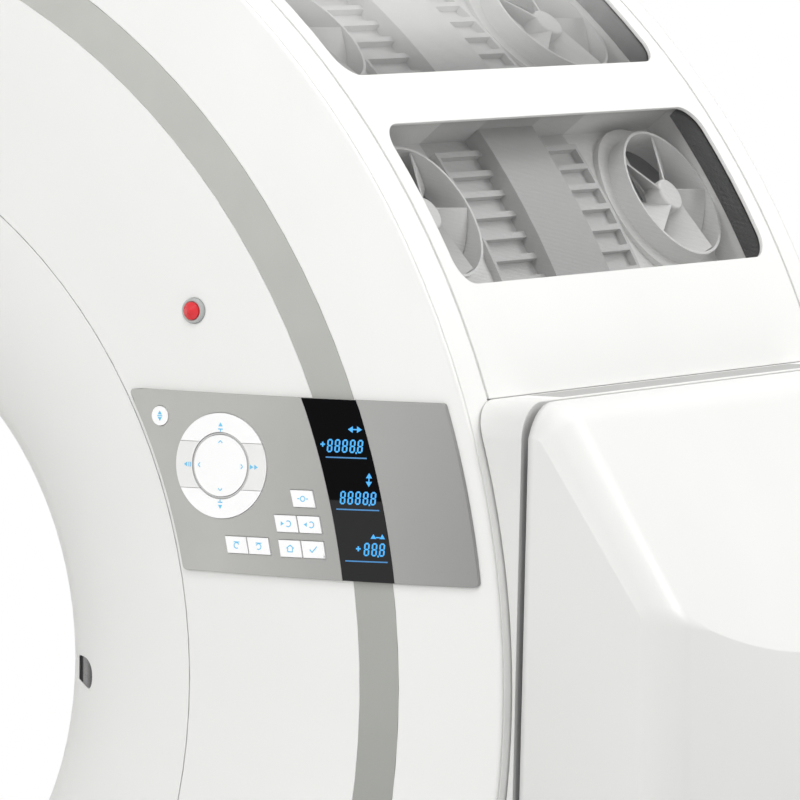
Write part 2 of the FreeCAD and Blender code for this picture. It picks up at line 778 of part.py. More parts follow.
def column_block(label, inset, open_by):
    """Column form: leaning inner face, flat top, and a slope down to a crest line that dips.

    The slope is ruled between the level shoulder and an arc on the outer side; the inset makes
    the form that hollows the shell, carried on by open_by through its inner side and its foot.
    """
    body = new_body(label, part=False)
    half, outer, top = column_half - inset, size("column_x") - inset, side_top - inset
    foot = size("column_foot") - size("iso_height") - open_by
    block = new_sketch(body, "XZ_Plane")
    outline(block, [(column_face(foot) - open_by, foot), (outer, foot), (outer, top),
                    (column_face(top) - open_by, top)])
    pad(body, block, half * 2, middle=True)

    start, beyond = size("column_shoulder"), 1 + 20 / (outer - size("column_shoulder"))
    reach = column_half * 1.15
    dip = top + (size("column_dip") - inset - top) * beyond
    rise = (size("column_crest") - size("column_dip")) * beyond * 1.15 * 1.15
    bend = (reach * reach + rise * rise) / (rise * 2)
    level = new_sketch(body, "YZ_Plane", offset=start)
    outline(level, [(-reach, top), (0, top), (reach, top), (reach, top + 200),
                    (-reach, top + 200)])
    crest = new_sketch(body, "YZ_Plane", offset=outer + 20)
    outline(crest, [(-reach, dip + rise, bend), (0, dip, bend), (reach, dip + rise),
                    (reach, top + 200), (-reach, top + 200)])
    slope = body.newObject("PartDesign::SubtractiveLoft", "Slope")
    slope.Profile = level
    slope.Sections = [crest]
    slope.Ruled = True
    body.Tip = slope

    def middle_of(edge):
        return edge.valueAt((edge.FirstParameter + edge.LastParameter) / 2)

    def on_shoulder(edge):
        spot = middle_of(edge)
        return abs(spot.x - start) < 0.5 and abs(spot.z - top) < 0.5

    def on_end_edges(edge):
        spot = middle_of(edge)
        ends = [abs(abs(vertex.Point.y) - half) < 0.5 for vertex in edge.Vertexes]
        inner = column_face(spot.z) - open_by
        return (all(ends) and abs(abs(spot.y) - half) < 0.5 and spot.z > foot + 1
                and spot.x > inner + 0.5)

    round_edges(body, on_shoulder, size("shoulder_round") - inset)
    round_edges(body, on_end_edges, size("column_round") - inset)
    return body


def make_columns():
    outer = column_block("column_block", 0, 0)
    inside = column_block("column_inside", wall, 30)
    shell = keep("column_cover_right", boolean("Cut", "column_cover_right", outer, inside))
    copy = mirrored("column_mirror", shell, part=False)
    place = (-size("inlet_x"), 0, size("inlet_height"))
    half = size("inlet_plate_half")
    service_hole = new_body("service_hole", place, part=False, floor=True)
    opening = new_sketch(service_hole, "XZ_Plane", offset=-(column_half - 20))
    outline(opening, rounded_box(-half, half, -half, half, half / 4))
    pad(service_hole, opening, 40, back=True)
    keep("column_cover_left", boolean("Cut", "column_cover_left", copy, service_hole))

    panel = new_body("inner_panel", part=False)
    sketch = new_sketch(panel, "XZ_Plane")
    foot = size("column_foot") - size("iso_height")
    top = side_top - wall - fit_gap
    outline(sketch, [(column_face(foot), foot), (column_face(foot) + wall, foot),
                     (column_face(top) + wall, top), (column_face(top), top)])
    pad(panel, sketch, (column_half - wall - fit_gap) * 2, middle=True)
    round_edges(panel, lambda edge: runs_along(edge, Vector(1, 0, 0))
                and edge.Vertexes[0].Point.z > 0, size("column_round") - wall)
    beams = new_sketch(panel, "YZ_Plane")
    beam_top = size("foot_height") + size("base_plate") + fit_gap - size("iso_height")
    near, far = size("beam_inner") - fit_gap, size("beam_outer") + fit_gap
    outline(beams, box(near, far, foot - 10, beam_top))
    outline(beams, box(-far, -near, foot - 10, beam_top))
    pocket(panel, beams, 1200, back=True)
    axle_hole = new_sketch(panel, "YZ_Plane")
    circle(axle_hole, 0, 0, size("axle_radius") + 5)
    pocket(panel, axle_hole, 1200, back=True)
    gather("column_inner_panels", [panel, mirrored("inner_panel_left", panel, part=False)])


# ---------------------------------------------------------------------------------------------
# Base, posts and tilt axle
# ---------------------------------------------------------------------------------------------
def make_base():
    foot, plate = size("foot_height"), size("base_plate")
    frame = new_body("base_frame", floor=True)
    base = new_sketch(frame, offset=foot)
    inner, outer, half = size("base_inner"), size("base_outer"), size("base_half")
    near, far = size("beam_inner"), size("beam_outer")
    outline(base, [(inner, -half), (outer, -half), (outer, half), (inner, half), (inner, far),
                   (-inner, far), (-inner, half), (-outer, half), (-outer, -half),
                   (-inner, -half), (-inner, -far), (inner, -far)])
    outline(base, [(inner, -near), (inner, near), (-inner, near), (-inner, -near)])
    for side in (-1, 1):
        for end in (-1, 1):
            circle(base, size("anchor_x") * side, size("anchor_y") * end, size("anchor_radius"))
            for step in (0, 1):
                circle(base, (size("foot_x") + size("foot_pitch") * step) * side,
                       size("foot_y") * end, size("stud_radius") + fit_gap)
    pad(frame, base, plate)

    post = new_sketch(frame, offset=foot + plate - 1)
    shell, deep = size("post_wall"), size("post_half")
    left, right = size("post_inner"), size("post_outer")
    for side in (-1, 1):
        outline(post, box(left * side, right * side, -deep, deep))
        outline(post, box((left + shell) * side, (right - shell) * side, shell - deep,
                          deep - shell))
    pad(frame, post, size("iso_height") + size("post_top") - foot - plate)
    gusset = new_sketch(frame, "XZ_Plane")
    floor_top = foot + plate - 1
    for side in (-1, 1):
        outline(gusset, [((right - 1) * side, floor_top), ((outer - 2) * side, floor_top),
                         ((right - 1) * side, floor_top + 160)])
    pad(frame, gusset, shell, middle=True)
    bore = new_sketch(frame, "YZ_Plane")
    circle(bore, 0, size("iso_height"), size("axle_bore"))
    pocket(frame, bore, 2400, middle=True)

    feet = []
    for side in (-1, 1):
        for end in (-1, 1):
            for step in (0, 1):
                x = (size("foot_x") + size("foot_pitch") * step) * side
                screw = new_body("levelling_foot", (x, size("foot_y") * end, 0), part=False,
                                 floor=True)
                profile = new_sketch(screw, "XZ_Plane")
                radius, stud, rise = size("foot_radius"), size("stud_radius"), size("stud_top")
                outline(profile, [
                    (0, 0), (radius, 0), (radius, foot - 4), (radius - 6, foot - fit_gap),
                    (stud, foot - fit_gap), (stud, foot + plate + fit_gap),
                    (stud + 8, foot + plate + fit_gap), (stud + 8, foot + plate + 12),
                    (stud, foot + plate + 12), (stud, rise), (0, rise)])
                revolve(screw, profile)
                feet.append(screw)
    gather("levelling_feet", feet)


def axle_sketch(body, at, side):
    return new_sketch(body, "YZ_Plane", offset=at * side)


def make_tilt_drive():
    """Slew ring and worm on the right post, plain bearing block on the left one."""
    drive_end = size("post_inner") - fit_gap
    start = size("slew_inner")
    bore = size("axle_radius") + size("running_gap")
    drop, worm = size("worm_drop"), size("worm_radius")

    slew = new_body("tilt_slew_drive")
    face = axle_sketch(slew, start, 1)
    circle(face, 0, 0, size("slew_radius"))
    circle(face, 0, 0, bore)
    pad(slew, face, drive_end - start)
    groove = axle_sketch(slew, start + (drive_end - start) / 3, 1)
    circle(groove, 0, 0, size("slew_radius") + 1)
    circle(groove, 0, 0, size("slew_radius") - 6)
    pocket(slew, groove, (drive_end - start) / 3, back=True)
    worm_front, worm_back = size("worm_front"), size("worm_back")
    housing = new_sketch(slew, "XZ_Plane", offset=worm_front)
    middle = (start + drive_end) / 2
    circle(housing, middle, -drop, worm)
    pad(slew, housing, worm_front + worm_back, back=True)
    motor = new_sketch(slew, "XZ_Plane", offset=1 - worm_back)
    circle(motor, middle, -drop, size("tilt_motor"))
    pad(slew, motor, size("tilt_motor_length"), back=True)

    block = new_body("trunnion_bearing")
    face = axle_sketch(block, start, -1)
    circle(face, 0, 0, size("bearing_radius"))
    circle(face, 0, 0, bore)
    pad(block, face, drive_end - start, back=True)
    yoke = axle_sketch(block, drive_end - 20, -1)
    outline(yoke, rounded_box(-150, 150, -110, 110, 25))
    circle(yoke, 0, 0, bore)
    pad(block, yoke, 20, back=True)

    make_mains_inlet()


def make_mains_inlet():
    """Cable gland through a square plate that closes the opening in the column from inside."""
    inlet = new_body("mains_inlet", (-size("inlet_x"), column_half - wall - fit_gap,
                                     size("inlet_height")), floor=True)
    profile = new_sketch(inlet)
    hex_radius, throat = size("inlet_radius"), size("inlet_bore")
    tail, length = hex_radius * 0.7, size("inlet_length")
    outline(profile, [
        (throat, -18), (tail, -18), (tail, -wall - 7), (hex_radius, -wall - 7),
        (hex_radius, length * 0.45), (tail + 2, length * 0.6), (tail + 2, length - 2),
        (tail, length), (throat, length)])
    revolve(inlet, profile)
    plate = new_sketch(inlet, "XZ_Plane")
    edge = size("inlet_plate_half") + wall * 2
    outline(plate, rounded_box(-edge, edge, -edge, edge, edge / 4))
    circle(plate, 0, 0, tail)
    pad(inlet, plate, wall)


# ---------------------------------------------------------------------------------------------
# Tilting frame, main bearing and spin drive
# ---------------------------------------------------------------------------------------------
def make_gantry_frame():
    """Ring plate with a hoop and radial ribs, a lug to each side, and the tilt axle stubs."""
    front, back = size("ring_front"), size("ring_back")
    inner, outer = size("ring_inner"), size("ring_outer")
    hoop, deep = size("hoop_wall"), size("flange_back")
    lip = lip_outer - wall - fit_gap
    rise, rib = back + size("stiffener"), size("stiffener_wall")
    frame = ring("gantry_frame", [
        (inner, front), (outer, front), (outer, deep - 8), (lip, deep - 8), (lip, deep),
        (outer - hoop, deep), (outer - hoop, back), (inner + rib, back), (inner + rib, rise),
        (inner, rise)])
    spoke = new_sketch(frame, "XZ_Plane", offset=-rise)
    outline(spoke, box(inner + 1, outer - 1, rib / -2, rib / 2))
    spokes = pad(frame, spoke, rise - back + 1)
    pattern(frame, spokes, spoke, "N_Axis", 360, 8)

    lug = new_sketch(frame)
    ear_in, ear_out, ear_front = size("ear_inner"), size("ear_outer"), size("ear_front")
    for side in (-1, 1):
        outline(lug, [((outer - 70) * side, front), (ear_in * side, front),
                      (ear_in * side, -ear_front), (ear_out * side, -ear_front),
                      (ear_out * side, back), ((outer - 70) * side, back)])
    pad(frame, lug, size("ear_half") * 2, middle=True)
    for side in (-1, 1):
        flange = axle_sketch(frame, ear_out - 1, side)
        circle(flange, 0, 0, size("axle_flange"))
        pad(frame, flange, size("flange_wall") + 1, back=side < 0)
        stub = axle_sketch(frame, ear_out + size("flange_wall") - 1, side)
        circle(stub, 0, 0, size("axle_radius"))
        pad(frame, stub, size("axle_end") - ear_out - size("flange_wall") + 1, back=side < 0)
    x, z = polar(size("pulley_place"), size("pulley_angle"))
    motor_hole = new_sketch(frame, "XZ_Plane")
    circle(motor_hole, x, z, size("shaft_radius") * 2)
    pocket(frame, motor_hole, 1200)


def make_fixed_drive():
    front = size("ring_front")
    race = size("race_radius")
    ring("main_bearing_outer", [
        (race, size("race_front")), (size("race_outer"), size("race_front")),
        (size("race_outer"), front - fit_gap), (race, front - fit_gap)])
    slip_back = size("rotor_back") + fit_gap + size("slip_wall")
    sector("brush_block", [
        (size("slip_inner") + 15, slip_back + fit_gap), (size("slip_outer") - 15,
                                                         slip_back + fit_gap),
        (size("slip_outer") - 15, front - fit_gap), (size("slip_inner") + 15, front - fit_gap)],
        size("brush_angle"), 14)

    x, z = polar(size("pulley_place"), size("pulley_angle"))
    back = size("ring_back") + fit_gap
    shaft = size("shaft_radius")
    motor, end = size("motor_radius"), size("motor_back")
    bore = shaft + size("running_gap")
    ring("drive_motor", [
        (bore, back), (motor + 10, back), (motor + 10, back + 12), (motor, back + 12),
        (motor, end - 20), (motor - 12, end), (0, end), (0, back + 50), (bore, back + 50)],
        at=(x, 0, z))
    lane_front = size("rotor_back") + 4
    lane_back = lane_front + size("belt_half") * 2 + 2
    pulley = size("pulley_radius")
    brim = pulley + 4
    ring("motor_pulley", [
        (0, lane_front - 3), (brim, lane_front - 3), (brim, lane_front), (pulley, lane_front),
        (pulley, lane_back), (brim, lane_back), (brim, lane_back + 3), (shaft, lane_back + 3),
        (shaft, back + 45), (0, back + 45)], at=(x, 0, z))
    make_belt(lane_front + 1)


def belt_points(grow):
    """Outline of the belt's loop round the rotor's belt rim and the motor pulley."""
    rotor, pulley = size("belt_radius") + grow, size("pulley_radius") + grow
    place, middle = size("pulley_place"), size("pulley_angle")
    spread = ((size("belt_radius") - size("pulley_radius")) / place).arccosine()
    x, z = polar(place, middle)
    far = [polar(rotor, middle + spread), polar(rotor, middle + 180),
           polar(rotor, middle - spread)]
    near = [polar(pulley, middle - spread), polar(pulley, middle + spread)]
    return [(far[0][0], far[0][1], rotor), (far[1][0], far[1][1], rotor), far[2],
            (x + near[0][0], z + near[0][1], pulley), (x + near[1][0], z + near[1][1])]


def make_belt(front):
    belt = new_body("drive_belt")
    loop = new_sketch(belt, "XZ_Plane", offset=-front)
    outline(loop, belt_points(fit_gap))
    outline(loop, belt_points(fit_gap + size("belt_wall")))
    pad(belt, loop, size("belt_half") * 2, back=True)


# ---------------------------------------------------------------------------------------------
# Rotor: turns about the bore axis
# ---------------------------------------------------------------------------------------------
def make_rotor():
    inner, rim, front, back = (size("rotor_inner"), size("rotor_rim"), size("rotor_front"),
                               size("rotor_back"))
    race = size("race_radius") - size("running_gap")
    belt, depth = size("belt_radius"), size("rim_wall")
    rotor = ring("rotor_ring", [
        (inner, front), (rim - depth, front), (rim - depth, -size("rim_front")),
        (rim, -size("rim_front")), (rim, back), (belt, back), (belt, size("belt_rim_back")),
        (belt - depth, size("belt_rim_back")), (belt - depth, back), (race, back),
        (race, size("hub_back")), (inner, size("hub_back"))])
    lightening = new_sketch(rotor, "XZ_Plane")
    circle(lightening, (belt + rim - depth) / 2, 0, 42)
    openings = pocket(rotor, lightening, 400)
    pattern(rotor, openings, lightening, "N_Axis", 360, 12)

    slip_front = back + fit_gap
    slip_back = slip_front + size("slip_wall")
    track = (size("slip_outer") - size("slip_inner")) / 9
    points = [(size("slip_inner"), slip_front), (size("slip_outer"), slip_front)]
    for step in range(9):
        level = slip_back - (3 if step % 2 else 0)
        points.append((size("slip_outer") - track * step, level))
        points.append((size("slip_outer") - track * (step + 1), level))
    ring("slip_ring", points)

    seat = front - fit_gap
    tube = size("tube_radius")
    xray = ring("xray_tube", [
        (0, -size("tube_front")), (tube * 0.55, -size("tube_front")),
        (tube * 0.55, 30 - size("tube_front")), (tube, 60 - size("tube_front")), (tube, 20),
        (tube * 0.7, 40), (tube * 0.7, seat), (0, seat)], at=(0, 0, size("tube_place")))
    port = new_sketch(xray, offset=-(tube + 2))
    outline(port, box(-40, 40, -30, 30))
    pocket(xray, port, 12, back=True)

    collimator = new_body("collimator")
    top = size("tube_place") - tube - fit_gap
    body_outline = new_sketch(collimator, "XZ_Plane")
    outline(body_outline, [(-60, top - 85), (60, top - 85), (90, top - 40), (90, top),
                           (-90, top), (-90, top - 40)])
    pad(collimator, body_outline, 90, middle=True)
    slot = new_sketch(collimator)
    outline(slot, box(-45, 45, -12, 12))
    pocket(collimator, slot, 1200, back=True)

    sector("detector_arc", [
        (size("detector_inner"), -120), (size("detector_outer"), -120),
        (size("detector_outer"), seat), (size("detector_inner") + 40, seat),
        (size("detector_inner") + 40, 30), (size("detector_inner"), 30)], 270, 64)
    sector("counterweight", box(640, rim - depth - 6, -120, seat), size("weight_angle"), 32)

    generator = new_body("hv_generator", turn=-size("generator_angle"))
    case = new_sketch(generator)
    outline(case, box(560, 780, -130, seat))
    pad(generator, case, 210, middle=True)
    fins = new_sketch(generator, "YZ_Plane", offset=785)
    for step in range(6):
        place = step * 32 - 96
        outline(fins, box(-120, seat - 10, place, place + 16))
    pocket(generator, fins, 25)


# ---------------------------------------------------------------------------------------------
# Control panel and keys on the domed face
# ---------------------------------------------------------------------------------------------
def arc_level(radius, height):
    """X at which a circle round the bore axis reaches a height."""
    return (radius * radius - height * height).root()


def panel_area(inner, outer, inset=0):
    """Outline between two circles round the bore axis and two level lines."""
    foot, top = size("panel_foot") + inset, size("panel_top") - inset
    return [(arc_level(inner, foot), foot), (arc_level(outer, foot), foot, outer),
            (arc_level(outer, top), top), (arc_level(inner, top), top, -inner)]


def add_layer(body, low, high, cut=False, inner=560, outer=918):
    """A layer of the panel's stretch of the domed face, between two heights above it."""
    sketch = turned_sketch(body, 18)
    outline(sketch, dome_slice(inner, outer, low, high))
    revolve(body, sketch, 40, cut)


def dial_outlines():
    """Outlines of the four ring keys round the pad."""
    inner, outer = size("dial_inner"), size("dial_outer")
    gap = size("ring_gap") / 2
    split = size("dial_split")
    x, z = size("dial_x"), size("dial_z")
    shapes = {}
    for label, side in (("dial_up", 1), ("dial_down", -1)):
        level = split + gap
        wide, near = arc_level(outer, level), arc_level(inner, level)
        shapes[label] = [
            (x + near * side, z + level * side), (x + wide * side, z + level * side, outer),
            (x, z + outer * side, outer), (x - wide * side, z + level * side),
            (x - near * side, z + level * side, -inner)]
    for label, side in (("dial_right", 1), ("dial_left", -1)):
        level = split - gap
        wide, near = arc_level(outer, level), arc_level(inner, level)
        shapes[label] = [
            (x + near * side, z - level * side), (x + wide * side, z - level * side, outer),
            (x + wide * side, z + level * side), (x + near * side, z + level * side, -inner)]
    return shapes


def key_outline(left, bottom, width, height, grow=0):
    """A key leaning with the panel's edge: its sides lean, its top and bottom are level."""
    lean = bottom / (left + width / 2)
    shift = height * lean
    side = grow * (lean * lean + 1).root()
    rise = grow * lean
    return [(left + rise - side, bottom - grow), (left + width + rise + side, bottom - grow),
            (left + width - shift - rise + side, bottom + height + grow),
            (left - shift - rise - side, bottom + height + grow)]


def key_places():
    """Lower left corners of the seven keys: one alone, then three pairs."""
    width = size("key_width")
    step = width + 1.5
    places = [(Size(708.5), Size(180.6))]
    for left, bottom in ((690, 154.5), (632, 130.3), (694.5, 129.2)):
        places.append((Size(left), Size(bottom)))
        places.append((left + step, Size(bottom)))
    return places


def make_panel():
    rise, floor, gap = size("panel_rise"), size("panel_floor"), size("key_gap")
    panel = new_body("control_panel")
    x, z = size("dial_x"), size("dial_z")
    width, height = size("key_width"), size("key_height")
    slots = [key_outline(left, bottom, width, height, gap) for left, bottom in key_places()]
    button = (size("round_x"), size("round_z"), size("round_radius") + gap)

    add_layer(panel, fit_gap, rise)
    hole(panel, (x, z, size("dial_outer") + gap), (x, z, size("dial_inner") - gap),
         (x, z, size("dial_disc") + gap), button, *slots)
    add_layer(panel, fit_gap, floor)
    add_layer(panel, size("strip_wall") - fit_gap, rise + 5, cut=True,
              inner=size("strip_inner"), outer=size("strip_outer"))
    clip_to(panel, panel_area(size("panel_inner"), size("panel_outer")))
    round_edges(panel, lambda edge: runs_along(edge, Vector(0, 1, 0))
                and panel_corner(edge.Vertexes[0].Point), size("panel_corner"))

    display = new_body("display_window")
    add_layer(display, size("strip_wall"), rise + 0.2)
    clip_to(display, panel_area(size("strip_inner") + fit_gap, size("strip_outer") - fit_gap,
                                fit_gap))
    low, top = size("key_low"), size("key_rise")
    for label, shape in dial_outlines().items():
        key = new_body(label)
        add_layer(key, low, top)
        clip_to(key, shape)
    for label, shape in (("dial_pad", (x, z, size("dial_disc"))),
                         ("round_key", (size("round_x"), size("round_z"),
                                        size("round_radius")))):
        key = new_body(label)
        add_layer(key, low, top)
        only_disc(key, shape)
    for number, (left, bottom) in enumerate(key_places(), start=1):
        key = new_body("key_%d" % number)
        add_layer(key, low, top)
        clip_to(key, key_outline(left, bottom, width, height))


def only_disc(body, shape):
    """Keeps only what lies inside an (x, z, radius) circle."""
    around = new_sketch(body, "XZ_Plane")
    outline(around, box(-1200, 1200, -1200, 1200))
    circle(around, *shape)
    pocket(body, around, 1200, back=True)


def panel_corner(point):
    """Whether a point is at one of the panel's four outer corners."""
    corners = panel_area(size("panel_inner"), size("panel_outer"))
    return any(abs(point.x - corner[0]) + abs(point.z - corner[1]) < 0.5 for corner in corners)


def make_stop_button():
    """Red push button in its bezel, upper left of the control panel."""
    x, z = size("stop_x"), size("stop_z")
    face = dome_y((x * x + z * z).root())
    at = (x, 0, z)
    bezel, cap = size("bezel_radius"), size("stop_radius")
    rim = cap + fit_gap
    back = wall + 2
    ring("stop_bezel", [
        (rim, 1.5 - face - 5), (rim + 1, -face - 4.5), (bezel - 1.2, -face - 4.5),
        (bezel, -face - 3), (bezel, back - face), (bezel + 5, back - face),
        (bezel + 5, back - face + 4), (rim, back - face + 4)], at=at)
    ring("stop_button", [
        (0, -face - 12), (cap, -face - 6, cap * 1.4), (cap, -face - 1.5),
        (cap - 3, -face - 1.5), (cap - 3, 18 - face), (0, 18 - face)], at=at)


make_covers()
make_laser_lens()
make_drum_skin()
make_window_mesh()
make_fans()
make_side_fairing()
make_side_trims()
make_columns()
make_base()
make_tilt_drive()
make_gantry_frame()
make_fixed_drive()
make_rotor()
make_panel()
make_stop_button()
doc.recompute()

# ---------------------------------------------------------------------------------------------
# Checks, then one file for each sub-part
# ---------------------------------------------------------------------------------------------
for thing in doc.Objects:
    if set(thing.State) & {"Invalid", "Error"}:
        raise RuntimeError("%s (%s) did not build" % (thing.Label, thing.Name))
for label, thing in nodes:
    if thing.Shape.isNull() or not thing.Shape.isValid():
        raise RuntimeError("%s has no valid shape" % label)
for label, thing in nodes:
    thing.Shape.exportStep("parts/%s.step" % label)
    print("%-22s %3d solids %12.0f mm3" % (label, len(thing.Shape.Solids), thing.Shape.Volume))
print(len(nodes), "sub-parts")
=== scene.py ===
import json
import math

import bmesh
import bpy
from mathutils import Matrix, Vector
from mathutils.bvhtree import BVHTree
from mathutils.geometry import tessellate_polygon


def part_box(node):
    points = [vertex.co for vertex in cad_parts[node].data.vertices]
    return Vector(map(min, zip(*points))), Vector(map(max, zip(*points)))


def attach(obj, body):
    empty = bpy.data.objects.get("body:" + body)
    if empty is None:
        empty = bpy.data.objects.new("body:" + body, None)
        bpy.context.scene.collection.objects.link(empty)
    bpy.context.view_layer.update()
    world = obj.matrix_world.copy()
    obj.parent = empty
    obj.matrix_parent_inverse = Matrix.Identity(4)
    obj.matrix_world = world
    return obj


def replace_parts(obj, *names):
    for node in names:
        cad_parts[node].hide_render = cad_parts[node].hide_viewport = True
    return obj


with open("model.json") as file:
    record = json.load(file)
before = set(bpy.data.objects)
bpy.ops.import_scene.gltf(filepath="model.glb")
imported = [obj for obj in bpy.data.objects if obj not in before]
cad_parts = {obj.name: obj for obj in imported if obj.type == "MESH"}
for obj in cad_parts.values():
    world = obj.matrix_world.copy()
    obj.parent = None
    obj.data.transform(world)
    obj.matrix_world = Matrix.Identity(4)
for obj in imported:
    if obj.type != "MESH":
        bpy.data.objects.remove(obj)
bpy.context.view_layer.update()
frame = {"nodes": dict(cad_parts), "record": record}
nodes = frame["nodes"]

MM = 0.001
ISOCENTRE = 1.05                         # height of the bore's axis


# ---------------------------------------------------------------- materials

WHITE = (0.83, 0.83, 0.815)
CLOUDY = (0.3, 0.7)                      # where most values of the cloudy noise lie
EDGE_SAMPLES = 6
SHARP = 0.0006                           # half the width of a sharp change of colour

SIDE_X, SIDE_LEAN = 0.934, 0.0273        # the fairings' outer sides: x at the axis, lean a metre
GAP_SHADE_DEPTH, GAP_SHADE_HALF = 0.0006, 0.3675   # how deep in the side the painted gap shade reaches, its end in y
GAP_SHADE_TURN = (ISOCENTRE + 0.225, ISOCENTRE + 0.285)   # the heights where the painted gap shade fades out
STRIP_X, STRIP_Y = 0.9295, 0.274         # where the grey of the fairings' strips ends
DIAL_X, DIAL_Z, DIAL_RADIUS = 0.6226, ISOCENTRE + 0.2191, 0.0548
PANEL_SHADE_TURN = (0.62, 0.9)                 # x where the panel's own colour and its full painted shade are reached
BAND_SHADE_TURN = (ISOCENTRE - 0.5, ISOCENTRE + 0.7)   # heights where the band's painted shade is full and where it has faded
RIBS_END, SMOOTH_END = 0.146, 0.0552     # where a tray's ribs and its smooth band end in y
LIT_UPPER_TRAY, LIT_UPPER_TRAY_SHARE = (0.93, 0.93, 0.92), 0.8
TRAY_LIGHT_TURN = (ISOCENTRE + 0.61, ISOCENTRE + 0.66)   # heights between lower and upper trays, over which the upper trays' painted light comes in
WIRE_LIGHT_TURN = (ISOCENTRE + 0.62, ISOCENTRE + 0.75)   # heights between lower and upper sheets, over which the upper sheets' painted light comes in
LENS_SPLIT = 0.4055                      # x where the lens's recess begins
LENS_TURN = (LENS_SPLIT + 0.008, LENS_SPLIT + 0.024)   # x where the recess fades to dark again
DISPLAY_REFLECTION_STEP = ISOCENTRE + 0.189        # height under which a lighter painted reflection lies on the display


def start_material(name):
    """An empty node material: the material, its tree and its shader."""
    made = bpy.data.materials.new(name)
    made.use_nodes = True
    tree = made.node_tree
    return made, tree, tree.nodes["Principled BSDF"]


def place(tree, stretch=(1.0, 1.0, 1.0)):
    """Where on the object a point is, stretched along each axis."""
    where = tree.nodes.new("ShaderNodeTexCoord")
    scaled = tree.nodes.new("ShaderNodeMapping")
    scaled.inputs["Scale"].default_value = stretch
    tree.links.new(where.outputs["Object"], scaled.inputs["Vector"])
    return scaled.outputs["Vector"]


def noise(tree, scale, detail=2.0, stretch=(1.0, 1.0, 1.0)):
    """Cloudy values between 0 and 1. Scale is waves a metre."""
    made = tree.nodes.new("ShaderNodeTexNoise")
    made.inputs["Scale"].default_value = scale
    made.inputs["Detail"].default_value = detail
    tree.links.new(place(tree, stretch), made.inputs["Vector"])
    return made.outputs["Fac"]


def spread(tree, value, low, high, start=CLOUDY[0], end=CLOUDY[1]):
    """Value from start to end, turned into a number from low to high."""
    made = tree.nodes.new("ShaderNodeMapRange")
    made.inputs["From Min"].default_value = start
    made.inputs["From Max"].default_value = end
    made.inputs["To Min"].default_value = low
    made.inputs["To Max"].default_value = high
    tree.links.new(value, made.inputs["Value"])
    return made.outputs["Result"]


def between(tree, value, dark, light):
    """Cloudy values, turned into a colour from dark to light."""
    made = tree.nodes.new("ShaderNodeValToRGB")
    for element, position, colour in zip(made.color_ramp.elements, CLOUDY, (dark, light)):
        element.position = position
        element.color = (*colour, 1.0)
    tree.links.new(value, made.inputs["Fac"])
    return made.outputs["Color"]


def bumps(tree, shader, height, strength, depth, edge=0.0):
    """Height as a relief of that depth in metres, over edges rounded by that radius."""
    made = tree.nodes.new("ShaderNodeBump")
    if edge:
        rounded = tree.nodes.new("ShaderNodeBevel")
        rounded.samples = EDGE_SAMPLES
        rounded.inputs["Radius"].default_value = edge
        tree.links.new(rounded.outputs["Normal"], made.inputs["Normal"])
    made.inputs["Strength"].default_value = strength
    made.inputs["Distance"].default_value = depth
    tree.links.new(height, made.inputs["Height"])
    tree.links.new(made.outputs["Normal"], shader.inputs["Normal"])


def shade(colour, by):
    """The colour made lighter or darker by a factor."""
    return tuple(min(part * by, 1.0) for part in colour)


def worked(tree, operation, *values):
    """One sum of numbers and node outputs."""
    made = tree.nodes.new("ShaderNodeMath")
    made.operation = operation
    for slot, value in zip(made.inputs, values):
        if isinstance(value, (int, float)):
            slot.default_value = value
        else:
            tree.links.new(value, slot)
    return made.outputs["Value"]


def spots(tree):
    """The three coordinates of a point on the object."""
    split = tree.nodes.new("ShaderNodeSeparateXYZ")
    tree.links.new(place(tree), split.inputs["Vector"])
    return split.outputs["X"], split.outputs["Y"], split.outputs["Z"]


def recolour(tree, mask, colour):
    """Where the mask is 1, another colour on top of what the shader has."""
    base = tree.nodes["Principled BSDF"].inputs["Base Color"]
    mix = tree.nodes.new("ShaderNodeMix")
    mix.data_type = "RGBA"
    tree.links.new(mask, mix.inputs["Factor"])
    tree.links.new(base.links[0].from_socket, mix.inputs["A"])
    mix.inputs["B"].default_value = (*colour, 1.0)
    tree.links.new(mix.outputs["Result"], base)


def painted(name, colour, gloss=0.38, cloud=0.02, peel=0.06, edge=0.0):
    """Sprayed moulded cover: fine orange peel, slow shifts of tone and of gloss."""
    made, tree, shader = start_material(name)
    slow = noise(tree, 2.3, detail=3.0)
    wiped = noise(tree, 9.0, detail=4.0, stretch=(1.0, 1.0, 0.35))
    tree.links.new(
        between(tree, slow, shade(colour, 1.0 - cloud), shade(colour, 1.0 + cloud)),
        shader.inputs["Base Color"])
    tree.links.new(spread(tree, wiped, gloss - 0.05, gloss + 0.07), shader.inputs["Roughness"])
    bumps(tree, shader, noise(tree, 420.0, detail=1.0), peel, 0.3 * MM, edge)
    return made


def moulded(name, colour, rough=0.5, grain=1300.0, depth=0.12 * MM, cloud=0.03, specular=0.5,
            edge=0.0):
    """Spark-eroded plastic: a fine grain in gloss and relief, slow shifts of tone."""
    made, tree, shader = start_material(name)
    fine = noise(tree, grain)
    slow = noise(tree, 14.0, detail=3.0)
    tree.links.new(
        between(tree, slow, shade(colour, 1.0 - cloud), shade(colour, 1.0 + cloud)),
        shader.inputs["Base Color"])
    tree.links.new(spread(tree, fine, rough - 0.06, rough + 0.08), shader.inputs["Roughness"])
    bumps(tree, shader, fine, 0.35, depth, edge)
    shader.inputs["Specular IOR Level"].default_value = specular
    return made


